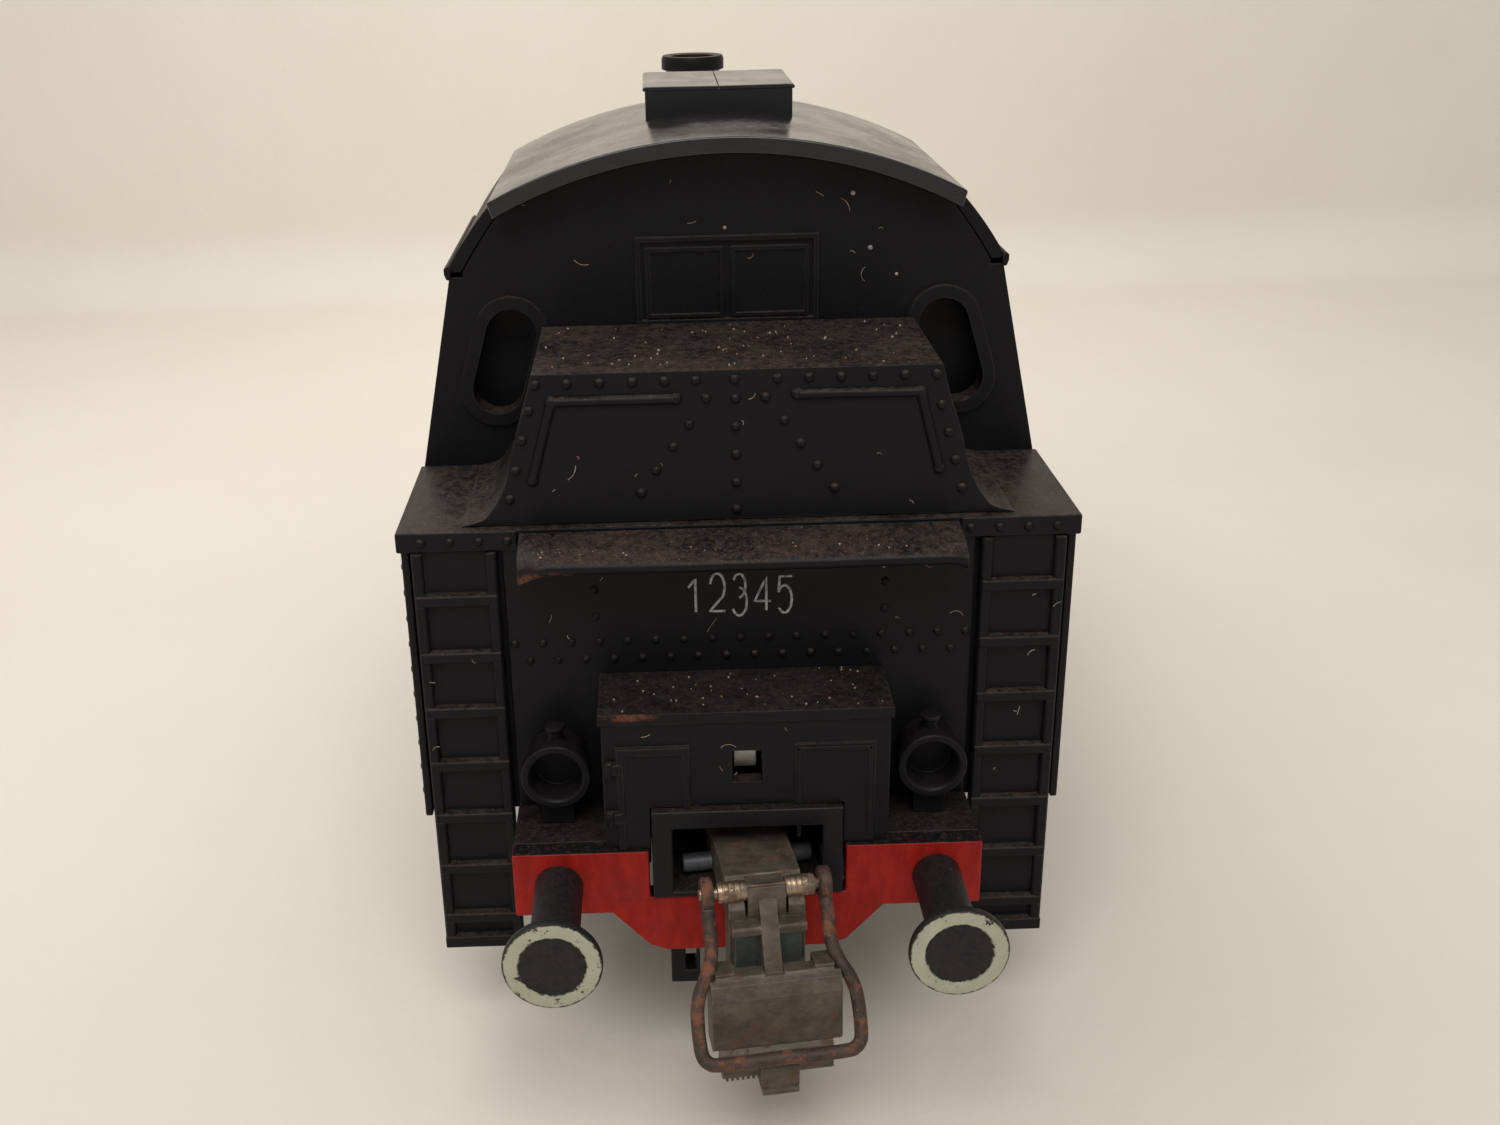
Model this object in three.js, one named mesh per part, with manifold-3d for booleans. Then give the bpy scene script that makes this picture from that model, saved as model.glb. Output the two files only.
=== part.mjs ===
// H0 (1:87) clockwork model of a six-coupled side-tank shunting locomotive.
// Millimetres. +Z up, -Y is the bunker end, +Y the chimney end, +X the right side seen from the bunker.
// The origin is under the middle of the locomotive, on the plane that the wheel flanges touch.

import * as THREE from 'three';
import { mergeVertices } from 'three/addons/utils/BufferGeometryUtils.js';
import Module from 'manifold-3d';

const wasm = await Module();
wasm.setup();

// ---------------------------------------------------------------- driving dimensions

const LENGTH_OVER_BUFFERS = 111.1;
const BUFFER_REACH = 7.12;
const BUFFER_SPACING = 20;
const BUFFER_HEIGHT = 12.8;
const BUFFER_HEAD_RADIUS = 2.49;
const BUFFER_SHANK_RADIUS = 1.27;
const BEAM_FACE = LENGTH_OVER_BUFFERS / 2 - BUFFER_REACH;
const BEAM_TOP = 14.72;
const BEAM_HALF_WIDTH = 12.4;
const BEAM_THICKNESS = 1.2;

const SEAM = 0.05;              // gap between two mouldings that are joined to each other
const RUNNING_GAP = 0.2;        // gap round a shaft that turns

const BODY_REAR = -43.1;        // rear face of the bunker
const BODY_HALF_WIDTH = 17.6;
const BODY_BOTTOM = 14.1;
const SHELF_HALF_WIDTH = 17.8;
const SHELF_TOP = 31;
const SHELF_LIP = 1.1;
const WALL = 1.2;
const CAB_REAR = -32.34;
const CAB_FRONT = -16.7;
const EAVES_HEIGHT = 41.9;
const EAVES_HALF_WIDTH = 15.35;
const ROOF_APEX = 49.33;
const ROOF_RADIUS = 27.7;
const ROOF_CROWN_HALF_WIDTH = 12.4;
const ROOF_CROWN_TIP = 12.85;    // where the overhanging crown sheet ends
const ROOF_GUTTER_HALF_WIDTH = 15.6;
const ROOF_GUTTER_HEIGHT = 42.1;
const ROOF_THICKNESS = 0.95;
const ROOF_OVERHANG = 1.95;
const TANK_FRONT = 26;
const BOILER_RADIUS = 9.2;
const BOILER_HEIGHT = 30;
const BOILER_FRONT = 30;
const SMOKEBOX_RADIUS = 9.6;
const SMOKEBOX_FRONT = 41;
const CHIMNEY_TOP = 47.4;
const LADDER_BOTTOM = 5.7;
const LADDER_INNER = 12.64;
const LADDER_OUTER = 17.08;

const AXLE_SPACING = 18.4;
const AXLE_HEIGHT = 7.3;
const AXLE_RADIUS = 1.2;
const TREAD_RADIUS = 6.3;
const FLANGE_RADIUS = 7.3;
const WHEEL_INNER_FACE = 7.2;
const WHEEL_OUTER_FACE = 10;
const CRANK_RADIUS = 3.2;
const CRANK_PIN_RADIUS = 0.6;

const PLATE_INNER = 5.8;        // inner face of each frame plate
const PLATE_OUTER = 6.6;
const GEAR_MODULE = 0.5;
const GREAT_WHEEL_TEETH = 36;
const SECOND_PINION_TEETH = 10;
const SECOND_WHEEL_TEETH = 30;
const AXLE_PINION_TEETH = 12;
const THIRD_PINION_TEETH = 10;
const THIRD_WHEEL_TEETH = 24;
const GOVERNOR_PINION_TEETH = 8;
const RATCHET_TEETH = 12;
const MESH_SLACK = 0.06;        // added to each pair's centre distance
const DRUM_RADIUS = 8.1;
const KEY_HOLE_RADIUS = 3.2;

const COUPLING_PIVOT = BEAM_FACE - 2.4;
const POCKET_DEPTH = 2.6;       // how far the coupling pocket reaches in behind the pivot
const COUPLING_SWING = THREE.MathUtils.degToRad(7);

// ---------------------------------------------------------------- arbors of the clockwork

const pitchRadius = (teeth) => teeth * GEAR_MODULE / 2;

function meshedCentre(from, teeth, otherTeeth, angleDegrees) {
  const angle = THREE.MathUtils.degToRad(angleDegrees);
  const distance = pitchRadius(teeth) + pitchRadius(otherTeeth) + MESH_SLACK;
  return { y: from.y + distance * Math.cos(angle), z: from.z + distance * Math.sin(angle) };
}

const SECOND_ANGLE = 84;        // direction of each next arbor, from +Y towards +Z
const BARREL_ANGLE = 157;
const THIRD_ANGLE = 14;
const GOVERNOR_ANGLE = -23;
const driveAxle = { y: 0, z: AXLE_HEIGHT };
const secondArbor = meshedCentre(driveAxle, AXLE_PINION_TEETH, SECOND_WHEEL_TEETH, SECOND_ANGLE);
const barrelArbor = meshedCentre(secondArbor, SECOND_PINION_TEETH, GREAT_WHEEL_TEETH, BARREL_ANGLE);
const thirdArbor = meshedCentre(secondArbor, SECOND_WHEEL_TEETH, THIRD_PINION_TEETH, THIRD_ANGLE);
const governorArbor = meshedCentre(thirdArbor, THIRD_WHEEL_TEETH, GOVERNOR_PINION_TEETH, GOVERNOR_ANGLE);

// ---------------------------------------------------------------- finishes

const FINISHES = {
  blackShell: { color: 0x17171b, roughness: 0.45, metalness: 0 },
  redBeam: { color: 0xa51a16, roughness: 0.5, metalness: 0 },
  steel: { color: 0x8b8a86, roughness: 0.4, metalness: 0.9 },
  brass: { color: 0xb08d42, roughness: 0.35, metalness: 0.9 },
  springSteel: { color: 0x4a5568, roughness: 0.3, metalness: 0.9 },
  blackMetal: { color: 0x1d1c1d, roughness: 0.5, metalness: 0.4 },
  redWheel: { color: 0x7d1c18, roughness: 0.5, metalness: 0 },
  couplingMetal: { color: 0x5e5a50, roughness: 0.55, metalness: 0.7 },
  rustyWire: { color: 0x4a3428, roughness: 0.6, metalness: 0.6 },
};

// ---------------------------------------------------------------- geometry helpers

function solidOf(geometry) {
  const bare = geometry.clone();
  bare.deleteAttribute('normal');
  bare.deleteAttribute('uv');
  const merged = mergeVertices(bare, 1e-4);
  return new wasm.Manifold(new wasm.Mesh({
    numProp: 3,
    vertProperties: new Float32Array(merged.attributes.position.array),
    triVerts: new Uint32Array(merged.index.array),
  }));
}

function geometryOf(solid) {
  const mesh = solid.getMesh();
  const geometry = new THREE.BufferGeometry();
  geometry.setAttribute('position', new THREE.BufferAttribute(mesh.vertProperties, 3));
  geometry.setIndex(new THREE.BufferAttribute(mesh.triVerts, 1));
  geometry.computeVertexNormals();
  return geometry;
}

const join = (...solids) => solids.reduce((whole, next) => whole.add(next));
const cut = (whole, ...tools) => tools.reduce((rest, tool) => rest.subtract(tool), whole);

function box(x, y, z) {
  const geometry = new THREE.BoxGeometry(x[1] - x[0], y[1] - y[0], z[1] - z[0]);
  geometry.translate((x[0] + x[1]) / 2, (y[0] + y[1]) / 2, (z[0] + z[1]) / 2);
  return solidOf(geometry);
}

// A box that is the same on both sides of the middle.
const centredBox = (halfWidth, y, z) => box([-halfWidth, halfWidth], y, z);

// The shape's own axes become X and Z.
function extrudeAlongY(shape, y0, y1, curveSegments = 12) {
  const options = { depth: y1 - y0, bevelEnabled: false, curveSegments };
  const geometry = new THREE.ExtrudeGeometry(shape, options);
  geometry.rotateX(Math.PI / 2);
  geometry.translate(0, y1, 0);
  return solidOf(geometry);
}

// The shape's own axes become Y and Z.
function extrudeAlongX(shape, x0, x1, curveSegments = 8) {
  const options = { depth: x1 - x0, bevelEnabled: false, curveSegments };
  const geometry = new THREE.ExtrudeGeometry(shape, options);
  const yAxis = new THREE.Vector3(0, 1, 0);
  const zAxis = new THREE.Vector3(0, 0, 1);
  const xAxis = new THREE.Vector3(1, 0, 0);
  geometry.applyMatrix4(new THREE.Matrix4().makeBasis(yAxis, zAxis, xAxis));
  geometry.translate(x0, 0, 0);
  return solidOf(geometry);
}

function polygon(points) {
  const shape = new THREE.Shape();
  points.forEach(([a, b], index) => {
    if (index === 0) shape.moveTo(a, b);
    else shape.lineTo(a, b);
  });
  shape.closePath();
  return shape;
}

// The outline given for x > 0 is repeated on the other side.
function mirroredPolygon(halfPoints) {
  const otherHalf = halfPoints.filter(([x]) => x > 0).map(([x, z]) => [-x, z]).reverse();
  return polygon([...halfPoints, ...otherHalf]);
}

function circleShape(radius, centreA = 0, centreB = 0) {
  const shape = new THREE.Shape();
  shape.absarc(centreA, centreB, radius, 0, 2 * Math.PI);
  return shape;
}

// A bar along X, Y or Z with 'sides' sides.
function roundBar(axis, radius, from, to, centre, sides = 16, endRadius = radius) {
  const geometry = new THREE.CylinderGeometry(endRadius, radius, to - from, sides);
  geometry.translate(0, (from + to) / 2, 0);
  if (axis === 'x') {
    geometry.rotateZ(-Math.PI / 2);
    geometry.translate(0, centre.y, centre.z);
  } else if (axis === 'z') {
    geometry.rotateX(Math.PI / 2);
    geometry.translate(centre.x, centre.y, 0);
  } else {
    geometry.translate(centre.x, 0, centre.z);
  }
  return solidOf(geometry);
}

// Turned pieces: profile points are [radius, distance along the axis].
function turned(axis, profile, centre, sides = 24) {
  const points = profile.map(([radius, along]) => new THREE.Vector2(radius, along));
  const geometry = new THREE.LatheGeometry(points, sides);
  if (axis === 'x') {
    geometry.rotateZ(-Math.PI / 2);
    geometry.translate(0, centre.y, centre.z);
  } else if (axis === 'z') {
    geometry.rotateX(Math.PI / 2);
    geometry.translate(centre.x, centre.y, 0);
  } else {
    geometry.translate(centre.x, 0, centre.z);
  }
  const solid = solidOf(geometry);
  return solid.volume() < 0 ? solidOf(turnedInsideOut(geometry)) : solid;
}

// Faces the other way, for profiles given in the other direction.
function turnedInsideOut(geometry) {
  const reversed = geometry.clone();
  const index = reversed.index.array;
  for (let corner = 0; corner < index.length; corner += 3) {
    const kept = index[corner];
    index[corner] = index[corner + 1];
    index[corner + 1] = kept;
  }
  return reversed;
}

// A round wire along a smooth curve through the points.
function wireAlong(points, radius, steps, sides = 8) {
  const curve = new THREE.CatmullRomCurve3(points, false, 'catmullrom', 0.5);
  const section = new THREE.Shape();
  for (let side = 0; side < sides; side += 1) {
    const angle = 2 * Math.PI * side / sides;
    const corner = [radius * Math.cos(angle), radius * Math.sin(angle)];
    if (side === 0) section.moveTo(...corner);
    else section.lineTo(...corner);
  }
  section.closePath();
  const geometry = new THREE.ExtrudeGeometry(section, { steps, bevelEnabled: false, extrudePath: curve });
  return solidOf(geometry);
}

const locomotive = new THREE.Group();

function place(name, solid, finish, parent = locomotive) {
  const mesh = new THREE.Mesh(geometryOf(solid), new THREE.MeshStandardMaterial(FINISHES[finish]));
  mesh.name = name;
  parent.add(mesh);
}

// ---------------------------------------------------------------- bunker

function makeBunkerShell() {
  const rear = BODY_REAR;
  const front = CAB_REAR - SEAM;
  const inner = BODY_HALF_WIDTH - WALL;
  const ladderRecess = 0.65;
  const outside = centredBox(BODY_HALF_WIDTH, [rear, front], [BODY_BOTTOM, SHELF_TOP]);
  const lipLeft = box([-SHELF_HALF_WIDTH, -11.5], [rear - 0.2, front], [SHELF_TOP - SHELF_LIP, SHELF_TOP]);
  const lipRight = box([11.5, SHELF_HALF_WIDTH], [rear - 0.2, front], [SHELF_TOP - SHELF_LIP, SHELF_TOP]);
  const hollow = centredBox(inner, [rear + WALL + ladderRecess, front + 1], [0, SHELF_TOP - WALL]);
  const recesses = [-1, 1].map((side) => {
    const edges = [side * (LADDER_INNER - 0.3), side * (LADDER_OUTER + 0.12)].sort((a, b) => a - b);
    return box(edges, [rear - 1, rear + ladderRecess], [0, SHELF_TOP - SHELF_LIP]);
  });
  const brakeSlot = centredBox(1.3, [rear - 1, rear + 3], [18, 20.8]);
  return cut(join(outside, lipLeft, lipRight), hollow, ...recesses, brakeSlot);
}

// Half of the raised bunker's outline, from the shelf up, with a flared foot.
const EXTENSION_OUTLINE = [[14.4, 31.05], [13.3, 31.35], [12.8, 31.85], [12.35, 32.55], [11.9, 33.6],
  [11.42, 35.5], [10.81, 37.4], [10.35, 39.05]];

function extensionShape(inset) {
  const half = EXTENSION_OUTLINE.map(([x, z]) => [x - inset, z]);
  half[half.length - 1][1] -= inset;
  return mirroredPolygon(half);
}

function makeBunkerExtension() {
  const rear = BODY_REAR + 0.5;
  const front = CAB_REAR - 0.4;
  const outside = extrudeAlongY(extensionShape(0), rear, front);
  const hollow = extrudeAlongY(extensionShape(1.4), rear + WALL, front + 1);
  const foot = centredBox(11, [rear + WALL, front + 1], [30, 33]);
  return cut(outside, hollow, foot);
}

function makeRearLedge() {
  const back = BODY_REAR - 0.25;
  const front = BODY_REAR - 3.45;
  const halfWidth = 11.35;
  const section = [[back, SHELF_TOP - 0.1], [front, SHELF_TOP - 0.62], [front - 0.12, SHELF_TOP - 1],
    [front + 0.1, SHELF_TOP - 1.4], [back, SHELF_TOP - 0.95]];
  const plate = extrudeAlongX(polygon(section), -halfWidth, halfWidth);
  const curledTip = box([-halfWidth, -halfWidth + 1.1], [front - 0.05, front + 0.6],
    [SHELF_TOP - 1.9, SHELF_TOP - 1]);
  return join(plate, curledTip);
}

function makeLadder(side) {
  const rear = BODY_REAR - 0.35;
  const back = BODY_REAR + 0.35;
  const top = SHELF_TOP - SHELF_LIP - SEAM;
  const panelRear = BODY_REAR + 0.05;
  const railWidth = 0.6;
  const span = (from, to) => [side * from, side * to].sort((a, b) => a - b);
  const panel = box(span(LADDER_INNER, LADDER_OUTER), [panelRear, back], [LADDER_BOTTOM, top]);
  const innerRail = box(span(LADDER_INNER, LADDER_INNER + railWidth), [rear, back], [LADDER_BOTTOM, top]);
  const outerRail = box(span(LADDER_OUTER - railWidth, LADDER_OUTER), [rear, back], [LADDER_BOTTOM, top]);
  const topRung = 27.5;
  const rungPitch = 3.28;
  const rungHeight = 0.65;
  const rungs = [0, 1, 2, 3, 4, 5, 6].map((rung) => {
    const height = topRung - rung * rungPitch;
    const width = span(LADDER_INNER + 0.1, LADDER_OUTER - 0.1);
    return box(width, [rear - 0.1, back], [height - rungHeight, height]);
  });
  const foot = box(span(LADDER_INNER, LADDER_OUTER), [rear - 0.1, back], [LADDER_BOTTOM - 0.1, 6.3]);
  return join(panel, innerRail, outerRail, foot, ...rungs);
}

// ---------------------------------------------------------------- cab

// Half outline of the roof's top: crown arc, then a tighter shoulder down to the gutter.
function roofOutline(inset) {
  const points = [];
  const crownSteps = 8;
  const centreHeight = ROOF_APEX - ROOF_RADIUS;
  const radius = ROOF_RADIUS - inset;
  for (let step = 0; step <= crownSteps; step += 1) {
    const x = ROOF_CROWN_HALF_WIDTH * step / crownSteps;
    points.push([x, centreHeight + Math.sqrt(radius * radius - x * x)]);
  }
  const crownEnd = points[crownSteps];
  const gutter = [ROOF_GUTTER_HALF_WIDTH - inset, ROOF_GUTTER_HEIGHT];
  const control = [14.4 - inset * 0.7, 44.3 - inset * 0.7];
  for (let step = 1; step <= 4; step += 1) {
    const t = step / 4;
    const mix = (a, b, c) => (1 - t) * (1 - t) * a + 2 * t * (1 - t) * b + t * t * c;
    points.push([mix(crownEnd[0], control[0], gutter[0]), mix(crownEnd[1], control[1], gutter[1])]);
  }
  return points;
}

function makeCabRoof() {
  const rear = CAB_REAR - ROOF_OVERHANG;
  const front = CAB_FRONT + ROOF_OVERHANG - 0.2;
  const full = mirroredPolygon(roofOutline(0));
  const hollow = mirroredPolygon([...roofOutline(ROOF_THICKNESS), [14, 30]]);
  const canopy = cut(
    extrudeAlongY(full, CAB_REAR, CAB_FRONT),
    extrudeAlongY(hollow, CAB_REAR - 1, CAB_FRONT + 1),
  );
  const crown = cut(
    extrudeAlongY(full, rear, front),
    extrudeAlongY(hollow, rear - 1, front + 1),
    box([ROOF_CROWN_TIP, 20], [rear - 1, front + 1], [0, 60]),
    box([-20, -ROOF_CROWN_TIP], [rear - 1, front + 1], [0, 60]),
  );
  return join(canopy, crown);
}

function makeRoofVentilator() {
  const rear = -24.3;
  const front = -15.6;
  const base = cut(
    centredBox(4.3, [rear + 0.12, front - 0.12], [47, 50.7]),
    extrudeAlongY(mirroredPolygon(roofOutline(-SEAM)), rear - 1, front + 1),
  );
  const lid = centredBox(4.42, [rear, front], [50.6, 50.9]);
  return join(base, lid);
}

function leaningOval(side, radius, y0, y1) {
  const shape = new THREE.Shape();
  const top = { x: side * 12.1, z: 38.65 };
  const bottom = { x: side * 13.05, z: 35.45 };
  const lean = Math.atan2(top.x - bottom.x, top.z - bottom.z);
  shape.absarc(top.x, top.z, radius, -lean, Math.PI - lean);
  shape.absarc(bottom.x, bottom.z, radius, Math.PI - lean, 2 * Math.PI - lean);
  shape.closePath();
  return extrudeAlongY(shape, y0, y1, 5);
}

function makeCabShell() {
  const wallTop = roofOutline(ROOF_THICKNESS + SEAM);
  const side = [[EAVES_HALF_WIDTH - 0.75, EAVES_HEIGHT - 0.1], [EAVES_HALF_WIDTH, EAVES_HEIGHT - 0.1],
    [BODY_HALF_WIDTH, SHELF_TOP], [BODY_HALF_WIDTH, BODY_BOTTOM]];
  const inside = [[EAVES_HALF_WIDTH - WALL, EAVES_HEIGHT], [BODY_HALF_WIDTH - WALL, SHELF_TOP],
    [BODY_HALF_WIDTH - WALL, 0]];
  const outside = extrudeAlongY(mirroredPolygon([...wallTop, ...side]), CAB_REAR, CAB_FRONT);
  const hollowTop = roofOutline(ROOF_THICKNESS + SEAM).slice(0, 9).map(([x, z]) => [x, z + 3]);
  const hollowShape = mirroredPolygon([...hollowTop, ...inside]);
  const hollow = extrudeAlongY(hollowShape, CAB_REAR + WALL, CAB_FRONT - WALL);
  const doorSides = [-1, 1].map((s) => {
    const x = s > 0 ? [13, 19] : [-19, -13];
    return join(box(x, [-29.6, -24.6], [32.2, 40.2]), box(x, [-22.8, -18], [33.4, 40.2]));
  });
  const throughRear = centredBox(9, [CAB_REAR - 1, CAB_REAR + 2], [0, 29]);
  const throughFront = centredBox(8.7, [CAB_FRONT - 2, CAB_FRONT + 1], [0, 33]);
  const wheelRoom = centredBox(13.2, [CAB_FRONT - 2, CAB_FRONT + 1], [0, 15.6]);
  const rearLights = [-1, 1].map((s) => leaningOval(s, 1.4, CAB_REAR - 1, CAB_REAR + 2));
  const frontLights = [-1, 1].map((s) => {
    const light = circleShape(1.7, s * 12.2, 37);
    return extrudeAlongY(light, CAB_FRONT - 2, CAB_FRONT + 1, 6);
  });
  const rims = [-1, 1].map((s) => leaningOval(s, 2.1, CAB_REAR - 0.3, CAB_REAR + 0.5));
  const solid = join(outside, ...rims, windowFrame());
  const passages = [throughRear, throughFront, wheelRoom];
  return cut(solid, hollow, ...doorSides, ...rearLights, ...frontLights, ...passages);
}

// Raised border with two blind panes in the middle of the cab's rear wall.
function windowFrame() {
  const y = [CAB_REAR - 0.28, CAB_REAR + 0.3];
  const outer = centredBox(5.03, y, [39.0, 43.8]);
  const flat = centredBox(4.78, [y[0] - 1, CAB_REAR], [39.2, 43.55]);
  const panes = [-1, 1].map((side) => {
    const border = side > 0 ? [0.2, 4.5] : [-4.5, -0.2];
    const pane = side > 0 ? [0.42, 4.26] : [-4.26, -0.42];
    const ring = box(border, [CAB_REAR - 0.18, CAB_REAR + 0.3], [39.3, 43.2]);
    return cut(ring, box(pane, [CAB_REAR - 1, CAB_REAR - 0.02], [39.5, 42.98]));
  });
  return join(cut(outer, flat), ...panes);
}

// ---------------------------------------------------------------- tanks, boiler, smokebox

// The right tank has the key hole, in line with the winding arbor that comes through its inner wall.
function makeSideTank(side) {
  const x = (from, to) => [side * from, side * to].sort((a, b) => a - b);
  const y = [CAB_FRONT + SEAM, TANK_FRONT];
  const innerFace = BOILER_RADIUS + 0.3;
  const outside = box(x(innerFace, BODY_HALF_WIDTH), y, [BODY_BOTTOM, SHELF_TOP]);
  const lip = box(x(innerFace, SHELF_HALF_WIDTH), [y[0], y[1] + 0.2], [SHELF_TOP - SHELF_LIP, SHELF_TOP]);
  const hollowWidth = x(innerFace + 1, BODY_HALF_WIDTH - WALL);
  const hollow = box(hollowWidth, [y[0] - 1, y[1] - WALL], [0, SHELF_TOP - WALL]);
  const wheelRoom = box(x(0, 13), [y[0] - 1, y[1] + 1], [0, 15.2]);
  const filler = roundBar('z', 1.7, SHELF_TOP - 0.3, SHELF_TOP + 1.1, { x: side * 13.6, y: 19.5 }, 16);
  const tank = cut(join(outside, lip), hollow, wheelRoom);
  if (side < 0) return join(tank, filler);
  const arborRoom = circleShape(2.2, barrelArbor.y, barrelArbor.z);
  const keyRoom = circleShape(KEY_HOLE_RADIUS, barrelArbor.y, barrelArbor.z);
  return join(cut(tank, extrudeAlongX(arborRoom, 8, 14, 8), extrudeAlongX(keyRoom, 14, 19, 8)), filler);
}

const boilerAxis = { x: 0, z: BOILER_HEIGHT };

function makeBoilerBarrel() {
  const rear = CAB_FRONT + SEAM;
  const outside = roundBar('y', BOILER_RADIUS, rear, BOILER_FRONT, boilerAxis, 32);
  const hollow = roundBar('y', BOILER_RADIUS - WALL, rear - 1, BOILER_FRONT + 1, boilerAxis, 24);
  const belly = centredBox(BOILER_RADIUS + 1, [rear - 1, TANK_FRONT - 1.5], [0, 25.5]);
  const valve = roundBar('z', 1.1, BOILER_HEIGHT + 8.7, BOILER_HEIGHT + 11.4, { x: 0, y: 0.9 }, 10, 0.8);
  const clockworkRoom = centredBox(BOILER_RADIUS + 1, [rear - 1, -2], [0, 28]);
  return join(cut(outside, hollow, belly, clockworkRoom), valve);
}

function makeSmokebox() {
  const rear = BOILER_FRONT + SEAM;
  const shell = roundBar('y', SMOKEBOX_RADIUS, rear, SMOKEBOX_FRONT, boilerAxis, 32);
  const hollow = roundBar('y', SMOKEBOX_RADIUS - WALL, rear - 1, SMOKEBOX_FRONT - WALL, boilerAxis, 24);
  return cut(shell, hollow);
}

function makeSmokeboxDoor() {
  const rear = SMOKEBOX_FRONT + SEAM;
  const profile = [[0, rear], [8.1, rear], [8.1, rear + 0.5], [6.4, rear + 1.2], [3.4, rear + 1.7],
    [0, rear + 1.9]];
  const door = turned('y', profile, boilerAxis, 24);
  const lock = roundBar('y', 0.8, rear + 1.5, rear + 2.9, boilerAxis, 10, 0.6);
  return join(door, lock);
}

// Turned upright pieces that sit on the boiler are hollowed to fit its curve.
function saddleCut(solid, radius, y0, y1) {
  return cut(solid, roundBar('y', radius + SEAM, y0, y1, boilerAxis, 32));
}

function makeDome(y, radius, top) {
  const base = BOILER_HEIGHT + BOILER_RADIUS - 1.4;
  const profile = [[0, base], [radius + 0.7, base], [radius, base + 2.2], [radius, top - radius * 0.62],
    [radius * 0.85, top - radius * 0.25], [radius * 0.5, top - 0.15], [0, top]];
  return saddleCut(turned('z', profile, { x: 0, y }, 16), BOILER_RADIUS, y - 9, y + 9);
}

function makeChimney() {
  const y = 36.5;
  const base = BOILER_HEIGHT + SMOKEBOX_RADIUS - 1;
  const outside = [[0, base], [3.5, base], [2.3, base + 2.2], [2.45, CHIMNEY_TOP - 1.4],
    [2.9, CHIMNEY_TOP - 1.2], [2.9, CHIMNEY_TOP]];
  const flue = [[1.9, CHIMNEY_TOP], [1.8, CHIMNEY_TOP - 5], [0, CHIMNEY_TOP - 5]];
  const profile = [...outside, ...flue];
  return saddleCut(turned('z', profile, { x: 0, y }, 16), SMOKEBOX_RADIUS, y - 8, y + 8);
}

// ---------------------------------------------------------------- ends of the frame

// 'end' is -1 for the bunker end and +1 for the chimney end.
const outward = (end, from, to) => [end * from, end * to].sort((a, b) => a - b);

function makeBeam(end) {
  const half = [[5.2, 11.9], [5.2, BEAM_TOP], [BEAM_HALF_WIDTH, BEAM_TOP], [BEAM_HALF_WIDTH, 10.95],
    [7.25, 10.95], [5.3, 8.85], [4.4, 8.5]];
  const thickness = outward(end, BEAM_FACE - BEAM_THICKNESS, BEAM_FACE);
  return extrudeAlongY(mirroredPolygon(half), ...thickness);
}

function makeBuffer(end, side) {
  const headBack = BEAM_FACE + BUFFER_REACH - 0.75;
  const face = BEAM_FACE + BUFFER_REACH;
  const profile = [[0, BEAM_FACE + SEAM], [BUFFER_SHANK_RADIUS, BEAM_FACE + SEAM],
    [BUFFER_SHANK_RADIUS, headBack], [BUFFER_HEAD_RADIUS, headBack + 0.15],
    [BUFFER_HEAD_RADIUS, face], [0, face]];
  const along = profile.map(([radius, distance]) => [radius, end * distance]);
  return turned('y', along, { x: side * BUFFER_SPACING / 2, z: BUFFER_HEIGHT }, 16);
}

// Open frame round the coupling, with the pin that the coupling swings on and a square-holed bracket
// that hangs behind the beam.
function makeCouplingPocket(end) {
  const back = COUPLING_PIVOT - POCKET_DEPTH;
  const face = BEAM_FACE + 0.15;
  const bottom = 11.95;
  const block = centredBox(5.02, outward(end, back, face), [bottom, 17.12]);
  const mouth = centredBox(3.92, outward(end, back + 0.9, face + 1), [bottom + 0.3, 16.1]);
  const pin = roundBar('z', 0.45, bottom + 0.1, 16.4, { x: 0, y: end * COUPLING_PIVOT }, 12);
  const across = (from, to) => [end * from, end * to].sort((a, b) => a - b);
  const beamBack = BEAM_FACE - BEAM_THICKNESS - 0.08;
  const hanger = box(across(2.6, 4.2), outward(end, beamBack - 1.6, beamBack), [5.4, bottom + 0.1]);
  const hole = box(across(2.8, 3.4), outward(end, 40, 50), [6.2, 7.7]);
  return join(cut(block, mouth), cut(hanger, hole), pin);
}

function makeRearFootplate() {
  const y = [-(BEAM_FACE - BEAM_THICKNESS - SEAM), BODY_REAR - SEAM];
  const plate = centredBox(BEAM_HALF_WIDTH, y, [13.2, BEAM_TOP - 0.04]);
  const tie = centredBox(8, [y[1] - 0.5, BODY_REAR + 0.6], [13.2, BODY_BOTTOM - SEAM]);
  const pocketBack = -(COUPLING_PIVOT - POCKET_DEPTH - SEAM);
  return cut(join(plate, tie), centredBox(5.1, [y[0] - 1, pocketBack], [0, 20]));
}

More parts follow.
